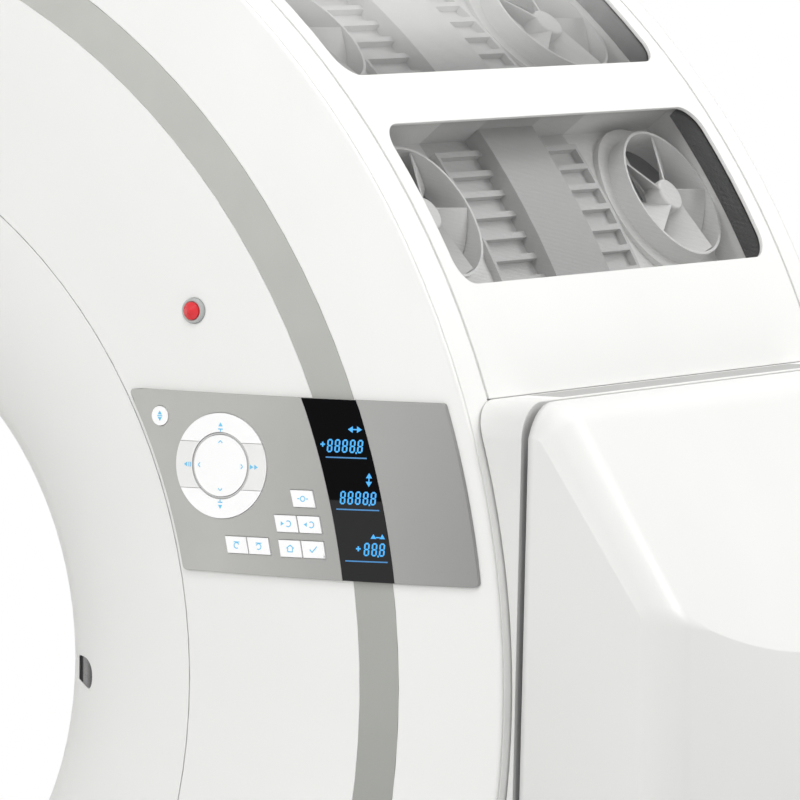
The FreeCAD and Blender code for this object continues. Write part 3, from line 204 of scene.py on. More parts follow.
def metal(name, colour, rough=0.3, stretch=(1.0, 40.0, 40.0)):
    """Machined or drawn metal, with lines along the axis that is stretched least."""
    made, tree, shader = start_material(name)
    lines = noise(tree, 60.0, detail=3.0, stretch=stretch)
    tree.links.new(
        between(tree, lines, shade(colour, 0.86), shade(colour, 1.08)),
        shader.inputs["Base Color"])
    tree.links.new(spread(tree, lines, rough - 0.08, rough + 0.12), shader.inputs["Roughness"])
    bumps(tree, shader, lines, 0.25, 0.1 * MM)
    shader.inputs["Metallic"].default_value = 1.0
    return made


def powder_coated(name, colour):
    """Textured powder coat over steel, with rubbed spots."""
    made, tree, shader = start_material(name)
    orange = noise(tree, 700.0)
    patches = noise(tree, 5.0, detail=5.0)
    tree.links.new(
        between(tree, patches, shade(colour, 0.93), shade(colour, 1.05)),
        shader.inputs["Base Color"])
    tree.links.new(spread(tree, patches, 0.42, 0.58), shader.inputs["Roughness"])
    bumps(tree, shader, orange, 0.3, 0.3 * MM)
    return made


def rubber(name, colour):
    """Matt black rubber or foam with a little dust."""
    made, tree, shader = start_material(name)
    fine = noise(tree, 900.0)
    dust = noise(tree, 8.0, detail=4.0)
    tree.links.new(between(tree, dust, colour, shade(colour, 1.6)), shader.inputs["Base Color"])
    tree.links.new(spread(tree, fine, 0.62, 0.82), shader.inputs["Roughness"])
    bumps(tree, shader, fine, 0.3, 0.2 * MM)
    return made


def smoked_glass(name, upper, lower, height):
    """Black display window with a painted reflection that is lighter below the given height, with
    faint wipe marks.
    """
    made, tree, shader = start_material(name)
    # painted reflection: the glass is lighter below the height
    step = spread(tree, spots(tree)[2], 0.0, 1.0, height - SHARP, height + SHARP)
    mix = tree.nodes.new("ShaderNodeMix")
    mix.data_type = "RGBA"
    mix.inputs["A"].default_value = (*lower, 1.0)
    mix.inputs["B"].default_value = (*upper, 1.0)
    tree.links.new(step, mix.inputs["Factor"])
    tree.links.new(mix.outputs["Result"], shader.inputs["Base Color"])
    wipes = noise(tree, 30.0, detail=4.0, stretch=(1.0, 1.0, 4.0))
    tree.links.new(spread(tree, wipes, 0.05, 0.12), shader.inputs["Roughness"])
    shader.inputs["Specular IOR Level"].default_value = 0.03
    return made


def lit(name, colour, strength=1.0):
    """A lit sign: its own light, with a slight unevenness along it."""
    made, tree, shader = start_material(name)
    shader.inputs["Base Color"].default_value = (0.01, 0.02, 0.03, 1.0)
    uneven = noise(tree, 260.0, detail=1.0)
    tree.links.new(
        between(tree, uneven, shade(colour, 0.88), colour), shader.inputs["Emission Color"])
    shader.inputs["Emission Strength"].default_value = strength
    shader.inputs["Roughness"].default_value = 0.4
    return made


def ink(name, colour):
    """Printed ink with a fine grain."""
    made, tree, shader = start_material(name)
    grains = noise(tree, 2400.0, detail=1.0)
    tree.links.new(
        between(tree, grains, shade(colour, 0.92), shade(colour, 1.06)),
        shader.inputs["Base Color"])
    tree.links.new(spread(tree, grains, 0.45, 0.6), shader.inputs["Roughness"])
    return made


def fairing_paint(name, colour, recess_tone):
    """Painted cover whose side along the gap is darkened up to a height: painted shade for the gap.
    """
    made = painted(name, colour, edge=0.0015)
    tree = made.node_tree
    x, y, z = spots(tree)
    lean = worked(tree, "MULTIPLY", worked(tree, "SUBTRACT", z, ISOCENTRE), SIDE_LEAN)
    side = worked(tree, "SUBTRACT", worked(tree, "ABSOLUTE", x), lean)
    on_side = worked(tree, "GREATER_THAN", side, SIDE_X - GAP_SHADE_DEPTH)
    inside = worked(tree, "LESS_THAN", worked(tree, "ABSOLUTE", y), GAP_SHADE_HALF)
    mask = worked(tree, "MULTIPLY", on_side, inside)
    # painted shade in the gap, on the side, fading out upwards
    recolour(tree, worked(tree, "MULTIPLY", mask, spread(tree, z, 1.0, 0.0, *GAP_SHADE_TURN)), recess_tone)
    return made


def panel_plastic(name, colour, shaded_far_colour, recess_tone):
    """Grey panel with painted shade that darkens it outwards; the recess round the dial is lighter.
    """
    made = moulded(name, colour, rough=0.36, grain=1700.0, edge=0.0012)
    tree = made.node_tree
    x, _, z = spots(tree)
    away_x = worked(tree, "SUBTRACT", x, DIAL_X)
    away_z = worked(tree, "SUBTRACT", z, DIAL_Z)
    squares = worked(tree, "ADD", worked(tree, "MULTIPLY", away_x, away_x),
                     worked(tree, "MULTIPLY", away_z, away_z))
    recolour(tree, spread(tree, x, 0.0, 1.0, *PANEL_SHADE_TURN), shaded_far_colour)
    recolour(tree, worked(tree, "LESS_THAN", worked(tree, "SQRT", squares), DIAL_RADIUS), recess_tone)
    return made


def band_plastic(name, colour, shaded_low_colour):
    """Grey band with painted shade that darkens it towards its foot."""
    made = moulded(name, colour, rough=0.42)
    tree = made.node_tree
    recolour(tree, spread(tree, spots(tree)[2], 1.0, 0.0, *BAND_SHADE_TURN), shaded_low_colour)
    return made


def tray_plastic(name, colour, band, ribs):
    """Fan tray: pale ducts, darker ribs and smooth band between; the upper trays are paler with
    painted light from above.
    """
    made = moulded(name, colour, rough=0.5, grain=900.0)
    tree = made.node_tree
    _, y, z = spots(tree)
    across = worked(tree, "ABSOLUTE", y)
    recolour(tree, worked(tree, "LESS_THAN", across, RIBS_END), ribs)
    recolour(tree, worked(tree, "LESS_THAN", across, SMOOTH_END), band)
    # painted light from above on the upper trays
    recolour(tree, spread(tree, z, 0.0, LIT_UPPER_TRAY_SHARE, *TRAY_LIGHT_TURN), LIT_UPPER_TRAY)
    return made


def strip_plastic(name, colour, margin):
    """Grey strip with the fairing's white along its margin."""
    made = moulded(name, colour, rough=0.45)
    tree = made.node_tree
    x, y, _ = spots(tree)
    recolour(tree, worked(tree, "MAXIMUM",
                          worked(tree, "GREATER_THAN", worked(tree, "ABSOLUTE", x), STRIP_X),
                          worked(tree, "GREATER_THAN", worked(tree, "ABSOLUTE", y), STRIP_Y)),
             margin)
    return made


def mesh_wire(name, colour, lit_upper_colour):
    """Coated wire, paler in the upper sheets with painted light from above."""
    made = moulded(name, colour, rough=0.5, grain=600.0)
    tree = made.node_tree
    # painted light from above on the upper sheets
    recolour(tree, spread(tree, spots(tree)[2], 0.0, 1.0, *WIRE_LIGHT_TURN), lit_upper_colour)
    return made


def lens_plastic(name, dark, recess):
    """Black window with a grey recess across it."""
    made = moulded(name, dark, rough=0.3, grain=500.0, depth=0.02 * MM, specular=0.1)
    tree = made.node_tree
    x = spots(tree)[0]
    recolour(tree, worked(tree, "GREATER_THAN", x, LENS_SPLIT), recess)
    recolour(tree, spread(tree, x, 0.0, 1.0, *LENS_TURN), dark)
    return made


FINISHES = {
    "face_shell": painted("face_paint", WHITE, edge=0.0015),
    "bore_shell": painted("bore_paint", WHITE, edge=0.001),
    "drum_shell": painted("drum_paint", WHITE, edge=0.002),
    # painted shade: columns and fairings take WHITE toned down for the shade they sit in, the
    # fairings' sides a painted gap shade
    "column_shell": painted("column_paint", shade(WHITE, 0.93), edge=0.002),
    "fairing_shell": fairing_paint("fairing_paint", shade(WHITE, 0.88), (0.52, 0.52, 0.52)),
    # a mid grey as painted shade for the gap between fairing and column
    "inner_shell": painted("inner_gap_shade_paint", (0.45, 0.45, 0.45)),
    "scan_film": moulded("scan_film", (0.74, 0.73, 0.68), rough=0.3, grain=500.0),
    "grey_trim": band_plastic("grey_trim", (0.49, 0.495, 0.465), (0.26, 0.265, 0.245)),
    "light_grey_trim": strip_plastic(
        "light_grey_trim", (0.345, 0.345, 0.337), shade(WHITE, 0.98)),
    "panel_grey": panel_plastic(
        "panel_grey", (0.46, 0.46, 0.44), (0.275, 0.275, 0.27), (0.56, 0.56, 0.555)),
    "tray_grey": tray_plastic(
        "tray_grey", (0.72, 0.72, 0.71), (0.42, 0.42, 0.415), (0.55, 0.55, 0.545)),
    "fan_grey": moulded("fan_grey", (0.72, 0.72, 0.71), rough=0.4, grain=900.0),
    "key_white": moulded("key_white", (0.97, 0.97, 0.97), rough=0.32, cloud=0.015),
    "key_soft_grey": moulded("key_soft_grey", (0.83, 0.83, 0.82), rough=0.36),
    "bezel_grey": moulded("bezel_grey", (0.45, 0.47, 0.46), rough=0.3),
    "stop_red": moulded(
        "stop_red", (0.72, 0.02, 0.03), rough=0.16, grain=500.0, depth=0.03 * MM),
    "lens_dark": lens_plastic("lens_dark", (0.008, 0.008, 0.009), (0.26, 0.26, 0.26)),
    "display_glass": smoked_glass(
        "display_glass", (0.0035, 0.0035, 0.004), (0.03, 0.03, 0.031), DISPLAY_REFLECTION_STEP),
    "black_plastic": moulded("black_plastic", (0.025, 0.025, 0.026), rough=0.5),
    # a dark coat, made darker still as painted shade for the inside seen through the windows
    "frame_steel": powder_coated("frame_steel", (0.16, 0.165, 0.17)),
    "cast_housing": powder_coated("cast_housing", (0.3, 0.31, 0.32)),
    "foam": rubber("foam", (0.012, 0.012, 0.012)),
    "bright_steel": metal("bright_steel", (0.62, 0.62, 0.62)),
    "rotor_aluminium": metal("rotor_aluminium", (0.78, 0.78, 0.78), 0.34, (40.0, 1.0, 40.0)),
    "slip_brass": metal("slip_brass", (0.82, 0.6, 0.28), 0.26, (40.0, 1.0, 40.0)),
    "belt_rubber": rubber("belt_rubber", (0.02, 0.02, 0.02)),
    "wire_mesh": mesh_wire("wire_mesh", (0.14, 0.14, 0.14), (0.95, 0.95, 0.94)),
}

for row in frame["record"]["subparts"]:
    slots = nodes[row["node"]].data.materials
    slots.clear()
    fairing = row["node"].startswith("side_fairing")
    slots.append(FINISHES["fairing_shell" if fairing else row["material_slot"]])


# ---------------------------------------------------------------- pieces

def link_object(name, data):
    """A new object in the scene."""
    made = bpy.data.objects.new(name, data)
    bpy.context.scene.collection.objects.link(made)
    return made


def add_piece(name, corners, faces, material, body, slot):
    """A piece of the object, on its body."""
    mesh = bpy.data.meshes.new(name)
    mesh.from_pydata(corners, [], faces)
    mesh.validate()
    mesh.materials.append(material)
    piece = link_object(name, mesh)
    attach(piece, body)
    return piece


def joined(parts):
    """Several lots of corners and faces as one."""
    corners, faces = [], []
    for some, more in parts:
        faces += [tuple(k + len(corners) for k in face) for face in more]
        corners += some
    return corners, faces


def surface_of(node):
    """A function that gives the node's front surface at (x, z), in metres."""
    mesh = nodes[node].data
    tree = BVHTree.FromPolygons(
        [v.co.copy() for v in mesh.vertices], [tuple(p.vertices) for p in mesh.polygons])

    def at(x, z):
        hit = tree.ray_cast(Vector((x, -1.0, z)), Vector((0.0, 1.0, 0.0)))[0]
        return hit.y
    return at


# ---------------------------------------------------------------- windows

# Woven wire behind each window: straight wires along y and hoops across them
WINDOWS = (31.65, 47.3, 132.7, 148.35)   # the angles of the windows' middles, in degrees
MESH_HALF_ANGLE = math.radians(6.55)
MESH_HALF_WIDTH = 0.3275
MESH_RADIUS = 0.9252
MESH_PITCH = 0.0015
WIRE, UPPER_WIRE = 0.16 * MM, 0.38 * MM
HOOP_STEPS, HOOP_DEPTH = 8, 0.0002


def on_drum(radius, angle, y):
    """A point by its radius and angle round the bore's axis."""
    return (radius * math.cos(angle), y, ISOCENTRE + radius * math.sin(angle))


def add_strip(corners, faces, left, right):
    """A ribbon between two equal rows of points."""
    first = len(corners)
    corners += left + right
    count = len(left)
    for k in range(first, first + count - 1):
        faces.append((k, k + 1, k + count + 1, k + count))


def wire_mesh():
    """The sheets of all four windows."""
    corners, faces = [], []
    for centre in WINDOWS:
        middle = math.radians(centre)
        wire = UPPER_WIRE if WINDOWS[0] < centre < WINDOWS[3] else WIRE
        half = wire / 2 / MESH_RADIUS
        ends = (-MESH_HALF_WIDTH, MESH_HALF_WIDTH)
        across = int(MESH_HALF_ANGLE * MESH_RADIUS / MESH_PITCH)
        for k in range(-across, across + 1):
            angle = middle + k * MESH_PITCH / MESH_RADIUS
            add_strip(corners, faces, *([on_drum(MESH_RADIUS, angle + turn, y) for y in ends]
                                        for turn in (-half, half)))
        turns = [middle + MESH_HALF_ANGLE * (2 * s / HOOP_STEPS - 1)
                 for s in range(HOOP_STEPS + 1)]
        along = int(MESH_HALF_WIDTH / MESH_PITCH)
        for k in range(-along, along + 1):
            add_strip(corners, faces, *([on_drum(MESH_RADIUS - HOOP_DEPTH, turn, y)
                                         for turn in turns]
                                        for y in (k * MESH_PITCH - wire / 2,
                                                  k * MESH_PITCH + wire / 2)))
    return corners, faces


woven = add_piece("woven_wire", *wire_mesh(), FINISHES["wire_mesh"], "gantry", "wire_mesh")
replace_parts(woven, "window_mesh")


# Black strips at the ends of each tray: painted shade where the trays' end walls lie in shadow
END_SHADE_END, END_SHADE_THICK, END_SHADE_LOW, END_SHADE_HIGH, END_SHADE_STEPS = 0.3266, 0.006, 0.8985, 0.9235, 18
END_SHADE_EDGE, END_SHADE_BULGE_STEPS = 0.35, 6    # its thickness at the edges as a share of the whole
END_SHADE_HALF_ANGLE = MESH_HALF_ANGLE * 0.985


def end_shade_strip(middle, side):
    """A strip with a bulged inner side, swept along the tray's end."""
    corners, faces = [], []
    tall = END_SHADE_HIGH - END_SHADE_LOW
    profile = [(0.0, 0.0)]
    for k in range(END_SHADE_BULGE_STEPS + 1):
        turn = math.pi * k / END_SHADE_BULGE_STEPS
        profile.append((END_SHADE_THICK * (END_SHADE_EDGE + (1 - END_SHADE_EDGE) * math.sin(turn)),
                        tall * (0.5 - 0.5 * math.cos(turn))))
    profile.append((0.0, tall))
    count = len(profile)
    for step in range(END_SHADE_STEPS + 1):
        angle = middle + END_SHADE_HALF_ANGLE * (2 * step / END_SHADE_STEPS - 1)
        for deep, up in profile:
            corners.append(on_drum(END_SHADE_LOW + up, angle, side * (END_SHADE_END - deep)))
        if step:
            first = (step - 1) * count
            for k in range(count):
                n = (k + 1) % count
                faces.append((first + k, first + n, first + count + n, first + count + k))
    faces += [tuple(range(count)), tuple(range(len(corners) - count, len(corners)))]
    return corners, faces


end_shades = joined(end_shade_strip(math.radians(centre), side) for centre in WINDOWS for side in (-1, 1))
# the black foam finish on these strips is painted shade at the tray ends
add_piece("end_shade_strips", *end_shades, FINISHES["foam"], "gantry", "black_plastic")


# ---------------------------------------------------------------- side columns

HALF, OUTER, TOP, FOOT = 0.373, 1.115, 0.291, 0.006 - ISOCENTRE
INNER_GAP = 0.008                        # from the fairing's side to the column
SHOULDER, SHOULDER_ROUND, SHOULDER_STEPS = 0.98, 0.045, 8
DIP, CREST = 0.019, 0.094                # the crest line's height in the middle and at its ends
KNEE, CREST_ROUND, HIP_ROUND, HIP_STEPS = 0.29, 0.0025, 0.066, 12
LEAST_ROUND = 0.002
BAND_FRONT, BAND_SIDE, BAND_ROUND, BAND_STEPS = 0.035, 0.016, 0.045, 12
MIDDLE_STEPS = 48
COLUMN_WALL = 0.0035
CREASE = math.radians(16.0)              # sharper edges than this aren't smoothed
INLET = (1.01, 0.16 - ISOCENTRE, 0.045)  # the mains inlet's opening: x, height, half its width
INLET_STEPS, SQUARENESS = 32, 6


def rounded_corner(before, corner, after, radius, steps):
    """Points of an arc that rounds a corner, by its radius."""
    to_a, to_b = (before - corner).normalized(), (after - corner).normalized()
    half = to_a.angle(to_b) / 2
    reach = radius / math.tan(half)
    centre = corner + (to_a + to_b).normalized() * (radius / math.sin(half))
    start, end = corner + to_a * reach - centre, corner + to_b * reach - centre
    whole = start.angle(end)
    parts = [(math.sin(whole * (1 - k / steps)), math.sin(whole * k / steps))
             for k in range(steps + 1)]
    return [centre + (start * first + end * second) / math.sin(whole) for first, second in parts]


def inner_edge(level):
    """X of the column's open side at a height over the axis."""
    return SIDE_X + INNER_GAP + SIDE_LEAN * level


def column_profile(y, sunk):
    """The column's line over the top, down the slope and the outer side, sunk by a depth."""
    bend = (HALF * HALF + (CREST - DIP) ** 2) / (2 * (CREST - DIP))
    crest = DIP + bend - math.sqrt(bend * bend - y * y)
    slope = Vector((OUTER - SHOULDER, crest - TOP))
    normal = Vector((-slope.y, slope.x)).normalized()
    ramp = Vector((SHOULDER, TOP)) - normal * sunk
    side, top = OUTER - sunk, TOP - sunk
    inner, foot = Vector((inner_edge(top), top)), Vector((side, FOOT))
    shoulder = ramp + slope * ((top - ramp.y) / slope.y)
    edge = ramp + slope * ((side - ramp.x) / slope.x)
    grown = min(max((abs(y) - KNEE) / (HALF - KNEE), 0.0), 1.0)
    hip = CREST_ROUND + (HIP_ROUND - CREST_ROUND) * grown
    return ([inner]
            + rounded_corner(inner, shoulder, edge,
                             max(SHOULDER_ROUND - sunk, LEAST_ROUND), SHOULDER_STEPS)
            + rounded_corner(shoulder, edge, foot, max(hip - sunk, LEAST_ROUND), HIP_STEPS)
            + [foot])


def column_stations():
    """Places across the column, from one end to the other, each with its depth."""
    slant = math.atan2(BAND_FRONT, BAND_SIDE)
    reach = BAND_SIDE + BAND_ROUND * math.tan(slant / 2)
    end = [(0.0, BAND_FRONT)]
    for k in range(BAND_STEPS + 1):
        turn = slant * (1 - k / BAND_STEPS)
        end.append((reach - BAND_ROUND * math.sin(turn), BAND_ROUND * (1 - math.cos(turn))))
    flat = 2 * (HALF - reach)
    middle = [(-HALF + reach + flat * k / MIDDLE_STEPS, 0.0) for k in range(1, MIDDLE_STEPS)]
    return ([(away - HALF, deep) for away, deep in end] + middle
            + [(HALF - away, deep) for away, deep in reversed(end)])


def squared(turn):
    """A point on a square with rounded corners, of half width 1."""
    c, s = math.cos(turn), math.sin(turn)
    grow = (abs(c) ** SQUARENESS + abs(s) ** SQUARENESS) ** (-1 / SQUARENESS)
    return c * grow, s * grow


def column_cover(name, side, opening=None):
    """The shell of a column, open along the gap, with an opening in its rear where there is one."""
    corners, faces = [], []
    stations = column_stations()
    rows = [column_profile(y, sunk) for y, sunk in stations]
    count = len(rows[0])
    for (y, _), row in zip(stations, rows):
        corners += [(side * point.x, y, ISOCENTRE + point.y) for point in row]
    for r in range(len(rows) - 1):
        for first in range(r * count, (r + 1) * count - 1):
            faces.append((first, first + count, first + count + 1, first + 1))
    for r, y in ((0, -HALF), (len(rows) - 1, HALF)):
        loop = [r * count + k for k in range(count)] + [len(corners)]
        corners.append((side * inner_edge(FOOT), y, ISOCENTRE + FOOT))
        if opening is None or y < 0:
            faces.append(tuple(loop) if y < 0 else tuple(reversed(loop)))
            continue
        hole = list(range(len(corners), len(corners) + INLET_STEPS))
        for k in range(INLET_STEPS):
            across, up = squared(2 * math.pi * (k + 0.5) / INLET_STEPS)
            corners.append((side * (opening[0] + opening[2] * across), y,
                            ISOCENTRE + opening[1] + opening[2] * up))
        outlines = [[Vector((corners[k][0], corners[k][2], 0.0)) for k in each]
                    for each in (loop, hole)]
        numbers = loop + hole
        faces += [tuple(numbers[k] for k in face) for face in tessellate_polygon(outlines)]
    piece = add_piece(name, corners, faces, FINISHES["column_shell"], "stand", "column_shell")
    form = bmesh.new()
    form.from_mesh(piece.data)
    bmesh.ops.recalc_face_normals(form, faces=form.faces)
    form.to_mesh(piece.data)
    form.free()
    piece.data.polygons.foreach_set("use_smooth", [True] * len(piece.data.polygons))
    piece.data.set_sharp_from_angle(angle=CREASE)
    shell = piece.modifiers.new("wall", "SOLIDIFY")
    shell.thickness = COLUMN_WALL
    shell.offset = -1.0
    return piece


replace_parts(column_cover("column_shell_right", 1), "column_cover_right")
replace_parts(column_cover("column_shell_left", -1, INLET), "column_cover_left")


# ---------------------------------------------------------------- positioning light, in mm

LENS_BOX = (395.7, 430.4, -29.4, 7.4)    # the opening: lowest and highest x, lowest and highest z
LENS_MIDDLE = (413.0, -11.0)
LENS_OUTLINE = [(396.6, 4.4), (403.0, 4.7), (409.8, 4.6), (415.5, 3.6), (419.7, 2.0),
                (423.8, -0.8), (426.6, -4.0), (428.5, -8.0), (429.2, -12.0), (429.2, -17.0),
                (428.3, -21.7), (426.0, -25.6), (422.7, -28.0), (416.0, -26.7), (410.0, -25.0),
                (404.5, -23.0), (396.6, -20.4)]
FRAME_AROUND, FRAME_ACROSS = 96, 5
FRAME_LEAST, FRAME_DEPTH, FRAME_LIFT = 0.05, 1.3, 0.04   # least width; under and over the flare
BESIDE_LENS = math.radians(7.0)          # the flare's surface is taken there, off the opening


def ray_reach(outline, middle, turn):
    """How far a ray from the middle goes to the outline."""
    c, s = math.cos(turn), math.sin(turn)
    best, slack = 0.0, 1e-9
    for (x0, z0), (x1, z1) in zip(outline, outline[1:] + outline[:1]):
        dx, dz = x1 - x0, z1 - z0
        bottom = c * dz - s * dx
        if abs(bottom) < slack:
            continue
        reach = ((x0 - middle[0]) * dz - (z0 - middle[1]) * dx) / bottom
        along = ((x0 - middle[0]) * s - (z0 - middle[1]) * c) / bottom
        if reach > 0 and -slack <= along <= 1 + slack:
            best = max(best, reach)
    return best


def lens_frame():
    """White frame flush with the flare, from the lens's rounded outline to its opening."""
    flare = surface_of("front_flare")
    low_x, high_x, low_z, high_z = LENS_BOX
    square = [(low_x, low_z), (high_x, low_z), (high_x, high_z), (low_x, high_z)]
    corners, faces = [], []
    rows = FRAME_ACROSS + 2
    for k in range(FRAME_AROUND):
        turn = 2 * math.pi * k / FRAME_AROUND
        near = ray_reach(LENS_OUTLINE, LENS_MIDDLE, turn)
        far = max(ray_reach(square, LENS_MIDDLE, turn), near + FRAME_LEAST)
        for j in range(rows):
            reach = near + (far - near) * max(j - 1, 0) / FRAME_ACROSS
            x = LENS_MIDDLE[0] + reach * math.cos(turn)
            z = LENS_MIDDLE[1] + reach * math.sin(turn)
            radius = math.hypot(x, z) * MM
            y = flare(radius * math.cos(BESIDE_LENS),
                      ISOCENTRE + radius * math.sin(BESIDE_LENS))
            sunk = -FRAME_LIFT if j else FRAME_DEPTH
            corners.append((x * MM, y + sunk * MM, ISOCENTRE + z * MM))
        here, following = k * rows, (k + 1) % FRAME_AROUND * rows
        faces += [(here + j, following + j, following + j + 1, here + j + 1)
                  for j in range(rows - 1)]
    return corners, faces


add_piece("lens_frame", *lens_frame(), FINISHES["bore_shell"], "gantry", "bore_shell")


# ---------------------------------------------------------------- panel, with its real outline

FACE_FRONT, DOME_START, RIM, RIM_DROP = 0.437, 0.62, 0.927, 0.0474
PANEL_INNER, PANEL_OUTER, PANEL_TOP, PANEL_FOOT, PANEL_CORNER = 0.59, 0.912, 0.293, 0.107, 0.009
NEW_INNER, NEW_CORNER = 0.587, 0.005
NEW_TOP, NEW_FOOT = (0.3015, -0.0135), (0.1201, -0.0169)   # height at x = 0 and rise a metre
PANEL_FADE = 0.0095                      # how far in from an edge its shift reaches
EDGE_SLACK, CORNER_SLACK, ROUNDING, TINY = 0.0002, 0.0003, 1e-5, 1e-6


def dome(x, z):
    """Y of the face at a place on it."""
    bend = ((RIM - DOME_START) ** 2 + RIM_DROP ** 2) / (2 * RIM_DROP)
    over = max(math.hypot(x, z) - DOME_START, 0.0)
    return -FACE_FRONT + bend - math.sqrt(bend * bend - over * over)


def near_edge(value, edge, inward):
    """1 at an edge, 0 further in, with a soft run between."""
    start, end = edge + inward * PANEL_FADE, edge + inward * EDGE_SLACK
    part = min(max((value - start) / (end - start), 0.0), 1.0)
    return part * part * (3 - 2 * part)


def edge_move(spot):
    """How far the plain panel's edges move at a place: two level lines tilt, one side shifts."""
    x, z = spot
    radius = math.hypot(x, z)
    top = (NEW_TOP[0] + NEW_TOP[1] * x - PANEL_TOP) * near_edge(z, PANEL_TOP, -1)
    foot = (NEW_FOOT[0] + NEW_FOOT[1] * x - PANEL_FOOT) * near_edge(z, PANEL_FOOT, 1)
    side = (NEW_INNER - PANEL_INNER) * near_edge(radius, PANEL_INNER, 1)
    return Vector((x / radius * side, top + foot + z / radius * side))


def corner_centre(radius, level):
    """The middle of a corner's arc, by its distance from the axis and its height."""
    return Vector((math.sqrt(radius * radius - level * level), level))


def panel_move(x, z):
    """Where a point of the plain panel goes: with its edges, and further out in the corners."""
    spot = Vector((x, z))
    for radius, new_radius, inward in ((PANEL_INNER, NEW_INNER, 1), (PANEL_OUTER, PANEL_OUTER, -1)):
        for level, (start, rise), down in ((PANEL_TOP, NEW_TOP, -1), (PANEL_FOOT, NEW_FOOT, 1)):
            old = corner_centre(radius + inward * PANEL_CORNER, level + down * PANEL_CORNER)
            away = spot - old
            reach = away.length
            outward = old.normalized() * -inward
            if not TINY < reach < PANEL_CORNER + CORNER_SLACK:
                continue
            if away.y * down > ROUNDING or away.dot(outward) < -ROUNDING:
                continue
            new_level = start + rise * old.x
            new = corner_centre(new_radius + inward * NEW_CORNER, new_level + down * NEW_CORNER)
            on_arc = old + away / reach * PANEL_CORNER
            shift = new + away / reach * NEW_CORNER - on_arc - edge_move(on_arc)
            return spot + edge_move(spot) + shift * (reach / PANEL_CORNER) ** 2
    return spot + edge_move(spot)


def trimmed(node, name):
    """A copy of a piece of the panel with its outline moved on the face."""
    mesh = nodes[node].data.copy()
    for vertex in mesh.vertices:
        x, z = vertex.co.x, vertex.co.z - ISOCENTRE
        new = panel_move(x, z)
        y = vertex.co.y + dome(new.x, new.y) - dome(x, z)
        vertex.co = (new.x, y, new.y + ISOCENTRE)
    piece = link_object(name, mesh)
    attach(piece, "gantry")
    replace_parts(piece, node)
    return piece


trimmed("control_panel", "panel_plate")
trimmed("display_window", "display_pane")


# ---------------------------------------------------------------- printed and lit marks, in mm

MARK_LIFT, MARK_DEPTH = 0.12, 0.05       # over and under the surface it lies on
FINE, BOLD = 1.0, 1.1                    # widths of the lines on the keys


def lay(at, centre, outlines):
    """Flat outlines round a centre (x, z) in metres, as raised shapes that follow a surface."""
    corners, faces = [], []
    for outline in outlines:
        count = len(outline)
        first = len(corners)
        for sunk in (-MARK_LIFT, MARK_DEPTH):
            for x, z in outline:
                px, pz = centre[0] + x * MM, centre[1] + z * MM
                corners.append((px, at(px, pz) + sunk * MM, pz))
        faces.append(tuple(range(first, first + count)))
        for k in range(count):
            n = (k + 1) % count
            faces.append((first + k, first + count + k, first + count + n, first + n))
    return corners, faces


def bar(x0, z0, x1, z1, wide, steps=1):
    """A straight line of that width, in pieces."""
    length = math.hypot(x1 - x0, z1 - z0)
    nx, nz = -(z1 - z0) / length * wide / 2, (x1 - x0) / length * wide / 2
    stops = [(x0 + (x1 - x0) * k / steps, z0 + (z1 - z0) * k / steps) for k in range(steps + 1)]
    return [[(xa - nx, za - nz), (xb - nx, zb - nz), (xb + nx, zb + nz), (xa + nx, za + nz)]
            for (xa, za), (xb, zb) in zip(stops, stops[1:])]


def turned(points, x, z, turn):
    """Points turned by an angle in degrees and moved to (x, z)."""
    c, s = math.cos(math.radians(turn)), math.sin(math.radians(turn))
    return [(x + px * c - pz * s, z + px * s + pz * c) for px, pz in points]


def chevron(x, z, size, turn, wide):
    """An open arrowhead, pointing right at turn 0."""
    tip, top, bottom = turned([(size / 2, 0), (-size / 2, size), (-size / 2, -size)], x, z, turn)
    return bar(*top, *tip, wide) + bar(*bottom, *tip, wide)


def triangle(x, z, size, turn):
    """A filled arrowhead, pointing right at turn 0."""
    long, high = size * 0.6, size * 0.75
    return [turned([(long, 0.0), (-long, high), (-long, -high)], x, z, turn)]


def ring_marks(x, z, radius, wide, start, end, steps=12):
    """An arc drawn with short bars, between two angles in degrees."""
    inner, outer = radius - wide / 2, radius + wide / 2
    turns = [math.radians(start + (end - start) * k / steps) for k in range(steps + 1)]
    return [[(x + reach * math.cos(turn), z + reach * math.sin(turn))
             for reach, turn in ((inner, a), (outer, a), (outer, b), (inner, b))]
            for a, b in zip(turns, turns[1:])]


DIGIT_HEIGHT, DIGIT_WIDTH, DIGIT_PITCH, DIGIT_LEAN = 13.6, 6.0, 8.2, 0.06
SEGMENT, SEGMENT_GAP = 1.65, 0.18        # a segment's width and the gap at its ends
POINT_LEFT, POINT_RIGHT, POINT_LOW, POINT_HIGH = -2.3, -0.6, -1.6, 0.3


def segment_shapes():
    """The seven segments of a digit, each with pointed ends."""
    w, h, t, gap = DIGIT_WIDTH - SEGMENT, DIGIT_HEIGHT - SEGMENT, SEGMENT / 2, SEGMENT_GAP
    made = [[(gap, z), (t + gap, z - t), (w - t - gap, z - t),
             (w - gap, z), (w - t - gap, z + t), (t + gap, z + t)] for z in (h, h / 2, 0.0)]
    for x in (0.0, w):
        for z in (h / 2, 0.0):
            top = z + h / 2
            made.append([(x, z + gap), (x + t, z + t + gap), (x + t, top - t - gap),
                         (x, top - gap), (x - t, top - t - gap), (x - t, z + t + gap)])
    return made


